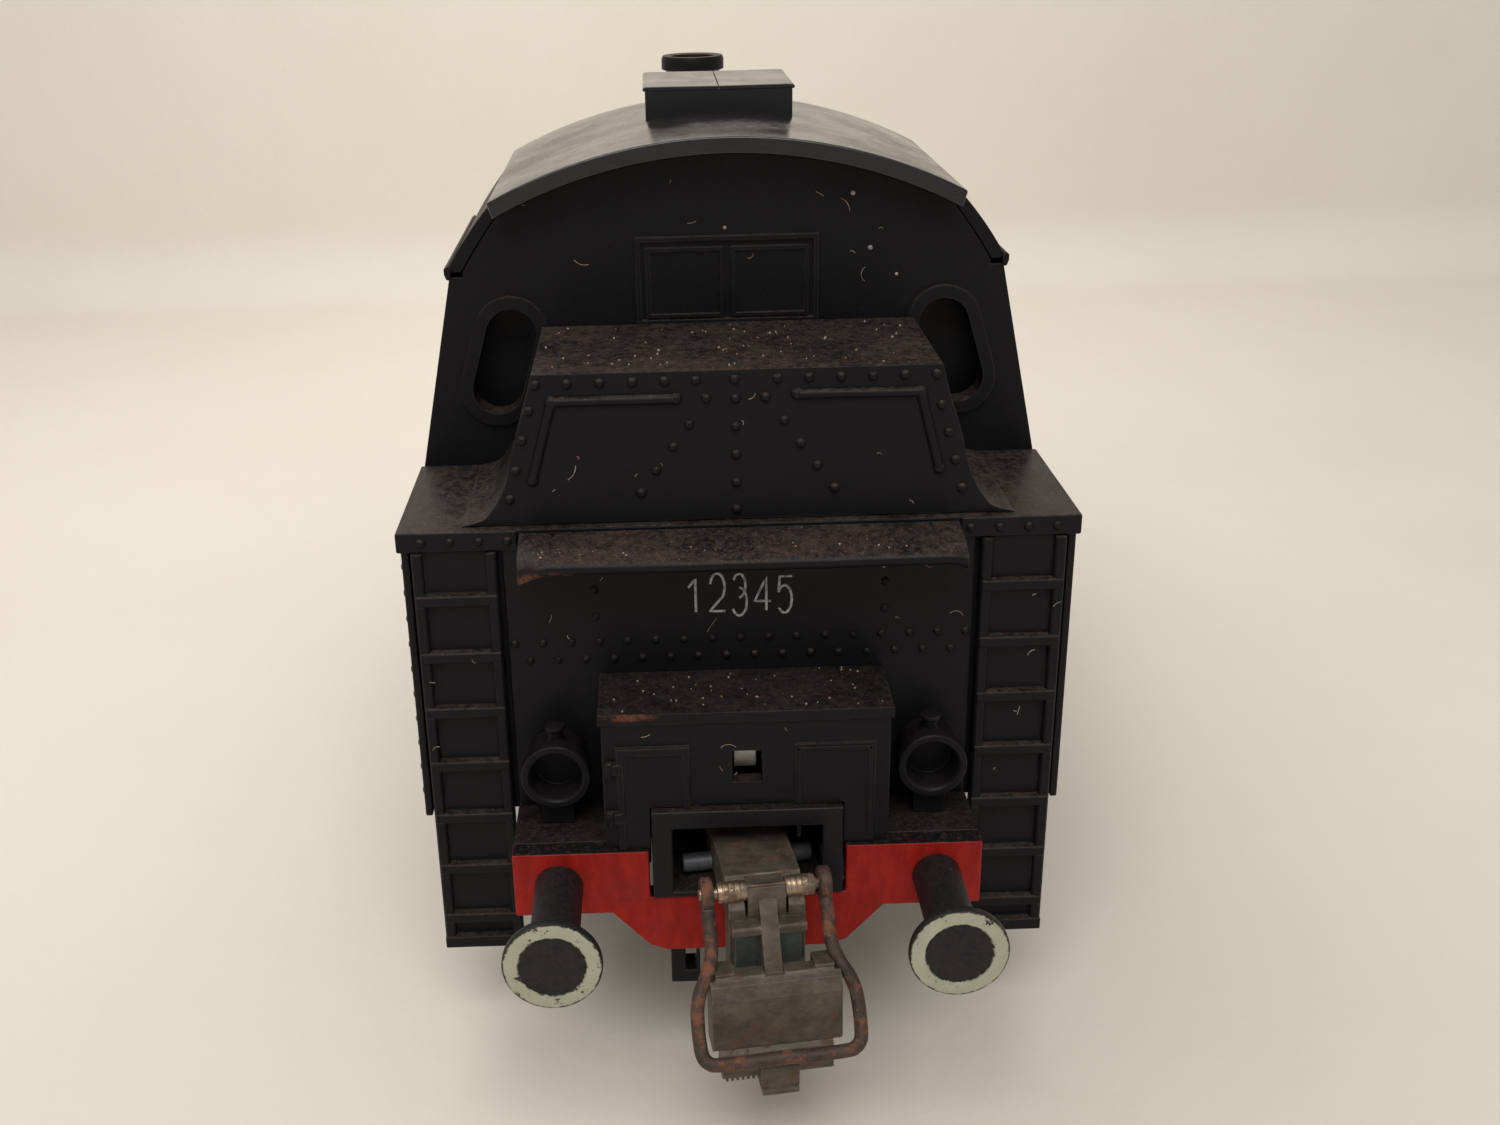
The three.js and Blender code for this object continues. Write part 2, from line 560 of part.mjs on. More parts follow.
function makeRearToolbox() {
  const rear = BODY_REAR - 4.87;
  const back = BODY_REAR - SEAM;
  const top = 22.65;
  const bottom = BEAM_TOP + 0.02;
  const halfWidth = 7.45;
  const shell = centredBox(halfWidth, [rear, back], [bottom, top]);
  const slab = centredBox(halfWidth + 0.15, [rear - 0.15, back], [top - 0.62, top]);
  const hollow = centredBox(halfWidth - 0.9, [rear + 0.9, back + 1], [bottom + 0.8, top - 0.9]);
  const pocketRoom = centredBox(5.08, [rear - 1, back + 1], [0, 17.18]);
  const peepHole = box([-0.72, 0.82], [rear - 1, rear + 2], [18.47, 20.31]);
  const leftDoor = box([-6.72, -2.95], [rear - 0.28, rear + 0.1], [bottom, 20.72]);
  const leftPanel = box([-6.35, -3.3], [rear - 1, rear - 0.16], [0, 20.3]);
  const hinges = [19.55, 16.65].map((z) => {
    const height = [z - 0.3, z + 0.3];
    return box([-7.3, -6.5], [rear - 0.36, rear + 0.1], height);
  });
  const rightDoor = box([2.48, 6.68], [rear - 0.14, rear + 0.1], [bottom, 20.68]);
  const door = cut(leftDoor, leftPanel);
  return cut(join(shell, slab, door, rightDoor, ...hinges), hollow, pocketRoom, peepHole);
}

function makeLamp(end, side, wall) {
  const centre = { x: side * 10.05, z: 17.85 };
  const front = wall + 2.75;
  const bodyRadius = 1.88;
  const outside = [[0, wall], [bodyRadius - 0.25, wall], [bodyRadius - 0.25, front - 0.9],
    [bodyRadius, front - 0.8], [bodyRadius, front]];
  const bore = [[1.36, front], [1.3, front - 1.7], [0, front - 1.7]];
  const profile = [...outside, ...bore].map(([radius, along]) => [radius, end * along]);
  const barrel = turned('y', profile, centre, 14);
  const middle = end * (wall + 1.5);
  const vent = roundBar('z', 0.5, 19.2, 20.45, { x: centre.x, y: middle }, 8, 0.42);
  const foot = box([centre.x - 0.9, centre.x + 0.9], [middle - 0.7, middle + 0.7], [BEAM_TOP + 0.02, 16.6]);
  return join(barrel, vent, foot);
}

function makeFrontFootplate() {
  const y = [TANK_FRONT + 0.25, BEAM_FACE - BEAM_THICKNESS - SEAM];
  const deck = centredBox(14.2, y, [13.9, BEAM_TOP - 0.04]);
  const pocketRoom = centredBox(5.1, [COUPLING_PIVOT - 3, y[1] + 1], [0, 20]);
  const saddleBlock = centredBox(5.6, [31, 40], [14, 23.5]);
  const saddle = saddleCut(saddleBlock, SMOKEBOX_RADIUS, 30, 42);
  const steps = [-1, 1].map((side) => {
    const x = (from, to) => [side * from, side * to].sort((a, b) => a - b);
    const hanger = box(x(13.5, 14.2), [41.6, 45.6], [LADDER_BOTTOM, 14]);
    const treads = [6, 9.6].map((z) => box(x(12.2, 14.2), [41.6, 45.6], [z - 0.3, z + 0.3]));
    return join(hanger, ...treads);
  });
  return join(cut(deck, pocketRoom), saddle, ...steps);
}

function makeCylinder(side) {
  const centre = { x: side * 12.7, z: 9.1 };
  const barrel = roundBar('y', 3, 28.6, 37.6, centre, 18);
  const covers = [28.2, 37.2].map((y) => roundBar('y', 3.25, y, y + 0.8, centre, 18));
  const chest = box([centre.x - 2.7, centre.x + 2.7], [29, 37.2], [9.5, 13.8]);
  const gland = roundBar('y', 1, 26.9, 28.4, centre, 10);
  return join(barrel, ...covers, chest, gland);
}

// ---------------------------------------------------------------- frame plates

function makeFramePlate(side) {
  const front = COUPLING_PIVOT - POCKET_DEPTH - 1.2;
  const rear = -front;
  const lowerEdge = [[rear, 8.6], [-29, 8.6], [-26.5, 4.6], [26.5, 4.6], [29, 8.6], [front, 8.6]];
  const upperEdge = [[front, 13.75], [21.5, 13.75], [20.6, 15.5], [20.6, 20], [14.5, 24.8], [-4.4, 24.8],
    [-6.6, 27], [-6.6, 31], [-21.4, 31], [-21.4, 16], [-24, 13.75], [rear, 13.75]];
  const outline = [...lowerEdge, ...upperEdge];
  const shape = polygon(outline);
  const bores = [[-AXLE_SPACING, AXLE_HEIGHT, AXLE_RADIUS], [0, AXLE_HEIGHT, AXLE_RADIUS],
    [AXLE_SPACING, AXLE_HEIGHT, AXLE_RADIUS], [barrelArbor.y, barrelArbor.z, 1.75],
    [secondArbor.y, secondArbor.z, 0.7], [thirdArbor.y, thirdArbor.z, 0.6],
    [governorArbor.y, governorArbor.z, 0.6]];
  bores.forEach(([y, z, radius]) => {
    const hole = new THREE.Path();
    hole.absarc(y, z, radius + RUNNING_GAP, 0, 2 * Math.PI, true);
    shape.holes.push(hole);
  });
  const x = [side * PLATE_INNER, side * PLATE_OUTER].sort((a, b) => a - b);
  return extrudeAlongX(shape, x[0], x[1], 5);
}

// Cross block between the frame plates; the bunker end's carries the guide of the brake rod.
function makeSpacer(end) {
  const halfWidth = PLATE_INNER - SEAM;
  const block = centredBox(halfWidth, outward(end, 30, 38), [9, 13.7]);
  if (end > 0) return block;
  const post = centredBox(1.9, [-33.2, -31.8], [13, 21.6]);
  const slot = centredBox(0.6 + RUNNING_GAP, [-35, -30], [18.35, 20.45]);
  return cut(join(block, post), slot);
}

// ---------------------------------------------------------------- wheels, axles and rods

function makeAxle(y, pinion) {
  const centre = { y, z: AXLE_HEIGHT };
  const bar = roundBar('x', AXLE_RADIUS, -WHEEL_INNER_FACE + SEAM, WHEEL_INNER_FACE - SEAM, centre, 12);
  return pinion ? join(bar, pinion) : bar;
}

function makeWheel(side, y, crankAngle) {
  const along = (distance) => side * distance;
  const centre = { y, z: AXLE_HEIGHT };
  const rimBore = 5.35;
  const flangeEdge = along(8);
  const profile = [[rimBore, along(WHEEL_INNER_FACE)], [FLANGE_RADIUS, along(WHEEL_INNER_FACE)],
    [FLANGE_RADIUS, flangeEdge], [TREAD_RADIUS, flangeEdge], [TREAD_RADIUS, along(WHEEL_OUTER_FACE)],
    [rimBore, along(WHEEL_OUTER_FACE)], [rimBore, along(WHEEL_INNER_FACE)]];
  const rim = turned('x', profile, centre, 20);
  const web = sideBar(rimBore + 0.3, side, 8.3, 9.5, centre, 20);
  const hub = sideBar(2, side, WHEEL_INNER_FACE, WHEEL_OUTER_FACE, centre, 10);
  const pinCentre = crankPinCentre(y, crankAngle);
  const boss = sideBar(1.25, side, 9, WHEEL_OUTER_FACE + 0.1, pinCentre, 8);
  const pin = sideBar(CRANK_PIN_RADIUS, side, 9.8, 11.6, pinCentre, 8);
  const pinHead = sideBar(1, side, 11.4, 11.9, pinCentre, 8);
  return join(rim, web, hub, boss, pin, pinHead);
}

function crankPinCentre(y, crankAngle) {
  return {
    y: y + CRANK_RADIUS * Math.cos(crankAngle),
    z: AXLE_HEIGHT + CRANK_RADIUS * Math.sin(crankAngle),
  };
}

// A bar along X whose ends are given as distances from the middle on one side.
function sideBar(radius, side, near, far, centre, sides) {
  const [from, to] = [side * near, side * far].sort((a, b) => a - b);
  return roundBar('x', radius, from, to, centre, sides);
}

// The rod joins the three crank pins of one side; its eyes clear the pins.
function makeCouplingRod(side, crankAngle) {
  const near = 10.35;
  const far = 11.2;
  const eyeRadius = 1.5;
  const beamHalf = 0.8;
  const pins = [-AXLE_SPACING, 0, AXLE_SPACING].map((y) => crankPinCentre(y, crankAngle));
  const x = [side * near, side * far].sort((a, b) => a - b);
  const beam = box(x, [pins[0].y, pins[2].y], [pins[0].z - beamHalf, pins[0].z + beamHalf]);
  const eyes = pins.map((pin) => sideBar(eyeRadius, side, near, far, pin, 12));
  const boreRadius = CRANK_PIN_RADIUS + RUNNING_GAP;
  const bores = pins.map((pin) => sideBar(boreRadius, side, near - 1, far + 1, pin, 10));
  return cut(join(beam, ...eyes), ...bores);
}

// ---------------------------------------------------------------- clockwork

function gearShape(teeth, centre, phase) {
  const shape = new THREE.Shape();
  const pitch = 2 * Math.PI / teeth;
  const radius = pitchRadius(teeth);
  const tip = radius + 0.9 * GEAR_MODULE;
  const root = radius - 1.15 * GEAR_MODULE;
  const corners = [[-0.27, root], [-0.11, tip], [0.11, tip], [0.27, root]];
  for (let tooth = 0; tooth < teeth; tooth += 1) {
    corners.forEach(([part, distance], corner) => {
      const angle = phase + (tooth + part) * pitch;
      const point = [centre.y + distance * Math.cos(angle), centre.z + distance * Math.sin(angle)];
      if (tooth === 0 && corner === 0) shape.moveTo(...point);
      else shape.lineTo(...point);
    });
  }
  shape.closePath();
  return shape;
}

// Phase that puts a gap of the second gear where the first gear has a tooth on the line of centres.
function gapPhase(angleDegrees, teeth) {
  return THREE.MathUtils.degToRad(angleDegrees) + Math.PI + Math.PI / teeth;
}

const toothPhase = (angleDegrees) => THREE.MathUtils.degToRad(angleDegrees);

function makeBarrel() {
  const phase = gapPhase(BARREL_ANGLE, GREAT_WHEEL_TEETH);
  const wheel = extrudeAlongX(gearShape(GREAT_WHEEL_TEETH, barrelArbor, phase), 3, 4.2);
  const drum = roundBar('x', DRUM_RADIUS, -3.6, 3.1, barrelArbor, 24);
  const hollow = roundBar('x', DRUM_RADIUS - 0.7, -5, 2.4, barrelArbor, 24);
  const bore = roundBar('x', 1.95, -6, 6, barrelArbor, 12);
  return cut(join(wheel, drum), hollow, bore);
}

// Wound strip between the arbor and the drum.
function makeMainspring() {
  const turns = 4;
  const stepsPerTurn = 16;
  const first = 2.9;
  const last = DRUM_RADIUS - 1.2;
  const thickness = 0.32;
  const shape = new THREE.Shape();
  const steps = turns * stepsPerTurn;
  const at = (step, offset) => {
    const angle = 2 * Math.PI * step / stepsPerTurn;
    const radius = first + (last - first) * step / steps + offset;
    return [barrelArbor.y + radius * Math.cos(angle), barrelArbor.z + radius * Math.sin(angle)];
  };
  shape.moveTo(...at(0, 0));
  for (let step = 1; step <= steps; step += 1) shape.lineTo(...at(step, 0));
  for (let step = steps; step >= 0; step -= 1) shape.lineTo(...at(step, thickness));
  shape.closePath();
  return extrudeAlongX(shape, -3.2, 2.1);
}

function ratchetShape(radius, depth) {
  const shape = new THREE.Shape();
  for (let tooth = 0; tooth < RATCHET_TEETH; tooth += 1) {
    const pitch = 2 * Math.PI / RATCHET_TEETH;
    const start = tooth * pitch;
    const halfWay = start + pitch * 0.55;
    const corners = [[start, radius], [start + 0.02, radius - depth], [halfWay, radius - depth * 0.45]];
    corners.forEach(([angle, distance], corner) => {
      const y = barrelArbor.y + distance * Math.cos(angle);
      const z = barrelArbor.z + distance * Math.sin(angle);
      const point = [y, z];
      if (tooth === 0 && corner === 0) shape.moveTo(...point);
      else shape.lineTo(...point);
    });
  }
  shape.closePath();
  return shape;
}

const RATCHET_RADIUS = 4.2;
const RATCHET_DEPTH = 1;
const RATCHET_X = [6.95, 7.85];

function makeWindingArbor() {
  const spindle = roundBar('x', 1.55, -6.9, RATCHET_X[1] + 0.4, barrelArbor, 12);
  const ratchet = extrudeAlongX(ratchetShape(RATCHET_RADIUS, RATCHET_DEPTH), ...RATCHET_X);
  const half = 1.15;
  const square = box([7, 13.4], [barrelArbor.y - half, barrelArbor.y + half],
    [barrelArbor.z - half, barrelArbor.z + half]);
  return join(spindle, ratchet, square);
}

// Pawl that drops into the ratchet; it turns on a stud of the right frame plate.
const clickPivot = { y: barrelArbor.y - 5.6, z: barrelArbor.z - 3.2 };

function makeClick() {
  const tip = { y: barrelArbor.y - RATCHET_RADIUS + 0.35, z: barrelArbor.z - 0.4 };
  const outline = [[tip.y, tip.z], [tip.y - 1.1, tip.z], [clickPivot.y - 0.9, clickPivot.z + 0.6],
    [clickPivot.y - 0.5, clickPivot.z - 0.9], [clickPivot.y + 0.7, clickPivot.z - 0.6]];
  const pawl = extrudeAlongX(polygon(outline), ...RATCHET_X);
  const eye = roundBar('x', 1.15, RATCHET_X[0], RATCHET_X[1], clickPivot, 12);
  const screwHead = roundBar('x', 0.75, RATCHET_X[1] - 0.1, RATCHET_X[1] + 0.5, clickPivot, 10);
  return join(pawl, eye, screwHead);
}

function arborWithGears(centre, journalRadius, gears, extras = []) {
  const spindle = roundBar('x', journalRadius, -6.5, 6.5, centre, 8);
  return join(spindle, ...gears, ...extras);
}

function makeAxlePinion() {
  return extrudeAlongX(gearShape(AXLE_PINION_TEETH, driveAxle, toothPhase(SECOND_ANGLE)), -5.45, -4.25);
}

function makeSecondArbor() {
  const wheelPhase = gapPhase(SECOND_ANGLE, SECOND_WHEEL_TEETH);
  const wheel = extrudeAlongX(gearShape(SECOND_WHEEL_TEETH, secondArbor, wheelPhase), -5.3, -4.4);
  const pinionShape = gearShape(SECOND_PINION_TEETH, secondArbor, toothPhase(BARREL_ANGLE));
  return arborWithGears(secondArbor, 0.7, [wheel, extrudeAlongX(pinionShape, 2.8, 4.4)]);
}

// The pinion's gap has to face whichever tooth of the second wheel is nearest to the line of centres.
function makeThirdArbor() {
  const pitch = 2 * Math.PI / SECOND_WHEEL_TEETH;
  const wheelPhase = gapPhase(SECOND_ANGLE, SECOND_WHEEL_TEETH);
  const line = THREE.MathUtils.degToRad(THIRD_ANGLE);
  const offset = (line - wheelPhase) / pitch;
  const missed = offset - Math.round(offset);
  const pinionPhase = line + Math.PI + (0.5 + missed) * 2 * Math.PI / THIRD_PINION_TEETH;
  const pinion = extrudeAlongX(gearShape(THIRD_PINION_TEETH, thirdArbor, pinionPhase), -5.45, -4.25);
  const wheelShape = gearShape(THIRD_WHEEL_TEETH, thirdArbor, toothPhase(GOVERNOR_ANGLE));
  return arborWithGears(thirdArbor, 0.6, [pinion, extrudeAlongX(wheelShape, 1.5, 2.4)]);
}

// Two weights on a cross bar; air drag and friction hold the speed down.
function makeGovernor() {
  const phase = gapPhase(GOVERNOR_ANGLE, GOVERNOR_PINION_TEETH);
  const pinionShape = gearShape(GOVERNOR_PINION_TEETH, governorArbor, phase);
  const pinion = extrudeAlongX(pinionShape, 1.35, 2.55);
  const { y, z } = governorArbor;
  const crossBar = box([-1.6, -0.8], [y - 2.4, y + 2.4], [z - 0.45, z + 0.45]);
  const weights = [-1, 1].map((side) => roundBar('x', 0.85, -2.7, 0.3, { y: y + side * 2.1, z }, 12));
  return arborWithGears(governorArbor, 0.6, [pinion], [crossBar, ...weights]);
}

// Sliding rod: pushed forward through the toolbox's hole it rubs on the spring drum and stops the train.
function makeBrakeRod() {
  const rear = -(BEAM_FACE - 1.9);
  const height = [18.6, 20.2];
  const tipY = barrelArbor.y - DRUM_RADIUS - 1.05;
  const rod = centredBox(0.6, [rear, tipY], height);
  const shoe = centredBox(1.4, [tipY - 0.9, tipY], [18.2, 20.6]);
  return join(rod, shoe);
}

// ---------------------------------------------------------------- couplings

// Both pieces are drawn for the bunker end, pointing along -Y, with the pivot at x = 0, y = 0.
const TRUNNION = { y: -5.75, z: 14.45 };
const LOOP_BAR = { y: -10.4, z: 7.55 };
const JOURNAL_RADIUS = 0.32;
const LOOP_WIRE_RADIUS = 0.36;

function makeCouplingHead() {
  const crossBar = roundBar('x', 0.5, -3.55, 3.55, { y: -0.4, z: 12.95 }, 10);
  const shank = centredBox(1.98, [-5.05, 1.1], [12.7, 14.8]);
  const shoulder = centredBox(1.1, [-6.2, -5], [12.9, 14.75]);
  const journal = roundBar('x', JOURNAL_RADIUS, -3.45, 3.45, TRUNNION, 8);
  const barrel = roundBar('x', 0.5, -2.5, 2.5, TRUNNION, 10);
  const posts = [-1, 1].map((side) => {
    const x = side > 0 ? [1.15, 1.98] : [-1.98, -1.15];
    return box(x, [-6.2, -5.02], [9.4, 14.1]);
  });
  const ribSection = [[-5.2, 14.2], [-6.3, 14.16], [-8.1, 10.8], [-8.1, 9.4], [-5.2, 9.4]];
  const ridge = extrudeAlongX(polygon(ribSection), -0.48, 0.48);
  const shelf = centredBox(1.95, [-7, -5.3], [12.5, 13]);
  const panel = centredBox(1.7, [-6.5, -5.2], [9.4, 12.6]);
  const floor = centredBox(1.95, [-7.8, -5.2], [9.4, 10.3]);
  const headSection = [[-7.5, 10.75], [-8.3, 10.85], [-9, 10.1], [-9.1, 7.2], [-7.5, 7.2]];
  const head = extrudeAlongX(polygon(headSection), -3.35, 3.35);
  const lowerPlate = centredBox(2.9, [-9.2, -8], [5.5, 7.3]);
  const tongue = centredBox(1, [-9.8, -8.2], [4.7, 6.5]);
  const upper = join(crossBar, shank, shoulder, journal, barrel, ...posts, ridge, shelf, panel);
  const whole = join(upper, floor, head, lowerPlate, tongue);
  const pivotHole = roundBar('z', 0.7, 10, 17, { x: 0, y: 0 }, 10);
  return cut(whole, pivotHole);
}

// The legs hang from eyes on the journals and spread out round the head.
function makeCouplingLoop() {
  const top = 3.02;
  const bottom = 4.1;
  const at = (x, share) => new THREE.Vector3(
    x,
    TRUNNION.y + (LOOP_BAR.y - TRUNNION.y) * share,
    TRUNNION.z + (LOOP_BAR.z - TRUNNION.z) * share,
  );
  const rightLeg = [at(top, 0.09), at(top, 0.3), at(3.6, 0.48), at(4, 0.62), at(bottom, 0.8),
    at(bottom - 0.05, 0.93), at(bottom - 0.6, 1)];
  const leftLeg = rightLeg.map((point) => new THREE.Vector3(-point.x, point.y, point.z)).reverse();
  const wireSolid = wireAlong([...rightLeg, ...leftLeg], LOOP_WIRE_RADIUS, 20, 6);
  const eyes = [-1, 1].map((side) => {
    const x = [side * (top - 0.32), side * (top + 0.32)].sort((a, b) => a - b);
    const bore = roundBar('x', JOURNAL_RADIUS + RUNNING_GAP, x[0] - 1, x[1] + 1, TRUNNION, 10);
    return cut(roundBar('x', 0.9, x[0], x[1], TRUNNION, 10), bore);
  });
  return join(wireSolid, ...eyes);
}

function couplingGroup(end) {
  const group = new THREE.Group();
  group.position.set(0, end * COUPLING_PIVOT, 0);
  group.rotation.z = (end > 0 ? Math.PI : 0) + COUPLING_SWING;
  locomotive.add(group);
  return group;
}

// ---------------------------------------------------------------- assembly

place('bunker_shell', makeBunkerShell(), 'blackShell');
place('bunker_extension', makeBunkerExtension(), 'blackShell');
place('rear_ledge', makeRearLedge(), 'blackShell');
place('cab_shell', makeCabShell(), 'blackShell');
place('cab_roof', makeCabRoof(), 'blackShell');
place('roof_ventilator', makeRoofVentilator(), 'blackShell');
place('boiler_barrel', makeBoilerBarrel(), 'blackShell');
place('smokebox', makeSmokebox(), 'blackShell');
place('smokebox_door', makeSmokeboxDoor(), 'blackShell');
place('chimney', makeChimney(), 'blackShell');
place('steam_dome', makeDome(8, 3.5, 44.6), 'blackShell');
place('sand_dome', makeDome(20.5, 3, 43.4), 'blackShell');
place('rear_toolbox', makeRearToolbox(), 'blackShell');
place('rear_footplate', makeRearFootplate(), 'blackShell');
place('front_footplate', makeFrontFootplate(), 'blackShell');

const SIDES = [['left', -1], ['right', 1]];
const ENDS = [['rear', -1], ['front', 1]];
const WHEEL_ROWS = [['rear', -AXLE_SPACING], ['middle', 0], ['front', AXLE_SPACING]];
const CRANK_ANGLES = { left: -Math.PI / 2, right: 0 };

SIDES.forEach(([sideName, side]) => {
  place(`ladder_${sideName}`, makeLadder(side), 'blackShell');
  place(`side_tank_${sideName}`, makeSideTank(side), 'blackShell');
  place(`cylinder_${sideName}`, makeCylinder(side), 'blackShell');
  place(`frame_plate_${sideName}`, makeFramePlate(side), 'blackMetal');
  place(`coupling_rod_${sideName}`, makeCouplingRod(side, CRANK_ANGLES[sideName]), 'steel');
  WHEEL_ROWS.forEach(([row, y]) => {
    place(`${row}_wheel_${sideName}`, makeWheel(side, y, CRANK_ANGLES[sideName]), 'redWheel');
  });
});

ENDS.forEach(([endName, end]) => {
  place(`${endName}_beam`, makeBeam(end), 'redBeam');
  place(`${endName}_coupling_pocket`, makeCouplingPocket(end), 'blackMetal');
  place(`${endName}_spacer`, makeSpacer(end), 'blackMetal');
  const group = couplingGroup(end);
  place(`${endName}_coupling_head`, makeCouplingHead(), 'couplingMetal', group);
  place(`${endName}_coupling_loop`, makeCouplingLoop(), 'rustyWire', group);
  SIDES.forEach(([sideName, side]) => {
    const lampWall = end < 0 ? -BODY_REAR + SEAM : 44;
    place(`${endName}_buffer_${sideName}`, makeBuffer(end, side), 'blackMetal');
    place(`${endName}_lamp_${sideName}`, makeLamp(end, side, lampWall), 'blackShell');
  });
});

place('rear_axle', makeAxle(-AXLE_SPACING), 'steel');
place('middle_axle', makeAxle(0, makeAxlePinion()), 'steel');
place('front_axle', makeAxle(AXLE_SPACING), 'steel');
place('spring_barrel', makeBarrel(), 'brass');
place('mainspring', makeMainspring(), 'springSteel');
place('winding_arbor', makeWindingArbor(), 'steel');
place('click', makeClick(), 'steel');
place('second_wheel', makeSecondArbor(), 'brass');
place('third_wheel', makeThirdArbor(), 'brass');
place('governor', makeGovernor(), 'brass');
place('brake_rod', makeBrakeRod(), 'steel');

export default locomotive;
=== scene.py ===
import math
import random

import bmesh
import bpy
from mathutils import Matrix, Vector


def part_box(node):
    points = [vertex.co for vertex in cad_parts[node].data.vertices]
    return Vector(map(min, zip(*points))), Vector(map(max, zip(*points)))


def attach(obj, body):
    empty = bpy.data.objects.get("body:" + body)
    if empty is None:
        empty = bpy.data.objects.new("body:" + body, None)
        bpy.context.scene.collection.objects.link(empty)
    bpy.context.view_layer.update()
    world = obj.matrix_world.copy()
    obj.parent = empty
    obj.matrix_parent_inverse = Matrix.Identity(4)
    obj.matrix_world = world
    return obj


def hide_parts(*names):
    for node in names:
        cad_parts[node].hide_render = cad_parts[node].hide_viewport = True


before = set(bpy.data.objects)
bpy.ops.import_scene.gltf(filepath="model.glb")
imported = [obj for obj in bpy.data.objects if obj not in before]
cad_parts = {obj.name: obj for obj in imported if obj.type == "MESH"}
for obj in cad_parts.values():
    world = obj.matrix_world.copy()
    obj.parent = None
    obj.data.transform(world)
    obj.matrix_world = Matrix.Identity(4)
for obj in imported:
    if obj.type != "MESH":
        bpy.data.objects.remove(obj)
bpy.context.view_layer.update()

# ------------------------------------------------------------------ sizes, in millimetres as in the CAD

MM = 0.001
BODY = "body_and_frame"
BODY_REAR = -43.1
CAB_REAR = -32.34
CAB_FRONT = -16.7
TOOLBOX_REAR = BODY_REAR - 4.87
SHELF_TOP = 31.0
SHELF_LIP = 1.1
BODY_SIDE = 17.6
ROOF_APEX = 49.33
ROOF_RADIUS = 27.7
ROOF_THICKNESS = 0.95
CROWN_HALF_WIDTH = 12.4
SHADE_SHEET_DEPTH = 2.45
TANK_FRONT = 26.0
BOILER_RADIUS = 9.2
BOILER_HEIGHT = 30.0
BOILER_FRONT = 30.0
SMOKEBOX_RADIUS = 9.6
SMOKEBOX_FRONT = 41.0
BEAM_FACE = 48.43
BEAM_TOP = 14.72
BUFFER_REACH = 7.12
BUFFER_HEIGHT = 12.8
AXLE_HEIGHT = 7.3
AXLE_SPACING = 18.4
CRANK_RADIUS = 3.2
COUPLING_PIVOT = BEAM_FACE - 2.4
COUPLING_SWING = math.radians(7)
BUFFER_SIDE = 10.0
BOILER_SHELL = 1.1
CHIMNEY_PLACE = (0, 36.5)
FILLER_SIDE = 13.6
LAMP_SIDE, LAMP_HEIGHT = 10.05, 17.85
CYLINDER_PLACE = (12.7, 9.1)
RAIL_RADIUS = 0.17
SIDES = (("left", -1), ("right", 1))
ENDS = (("rear", -1), ("front", 1))


# ------------------------------------------------------------------ camera

def make_camera():
    """The photograph's viewing angle, from a camera fitted to the model."""
    data = bpy.data.cameras.new("photo_camera")
    camera = bpy.data.objects.new("photo_camera", data)
    bpy.context.scene.collection.objects.link(camera)
    yaw, pitch, roll = math.radians(0.90), math.radians(22.66), math.radians(-1.34)
    ahead = Vector((math.sin(yaw) * math.cos(pitch), math.cos(yaw) * math.cos(pitch), -math.sin(pitch)))
    level = Vector((math.cos(yaw), -math.sin(yaw), 0))
    above = level.cross(ahead)
    right = level * math.cos(roll) + above * math.sin(roll)
    up = above * math.cos(roll) - level * math.sin(roll)
    turn = Matrix((right, up, -ahead)).transposed().to_4x4()
    camera.matrix_world = Matrix.Translation(Vector((-3.85, -121.01, 60.85)) * MM) @ turn
    data.sensor_width = 36
    data.lens = 38.72
    data.shift_x = 0.0402
    data.shift_y = 0.0066
    data.clip_start = 0.005
    data.clip_end = 5
    bpy.context.scene.camera = camera


# ------------------------------------------------------------------ building closed forms

PLACES = {"x": lambda a, b, s: (s, a, b), "y": lambda a, b, s: (a, s, b), "z": lambda a, b, s: (a, b, s)}
SMALLEST_RADIUS = 0.002
MERGE_DISTANCE = 0.0005


def sorted_pair(a, b):
    return (a, b) if a < b else (b, a)


def turns(count, offset=0.0):
    """Evenly spaced angles of a full turn."""
    return [2 * math.pi * (i + offset) / count for i in range(count)]


def turned(radius, along, axis, centre, angle):
    """A point at a distance from an axis and at a place along it."""
    return PLACES[axis](centre[0] + radius * math.cos(angle), centre[1] + radius * math.sin(angle), along)


def straight(start, end, steps):
    """Points on a straight line, both ends included."""
    return [tuple(a + (b - a) * i / steps for a, b in zip(start, end)) for i in range(steps + 1)]


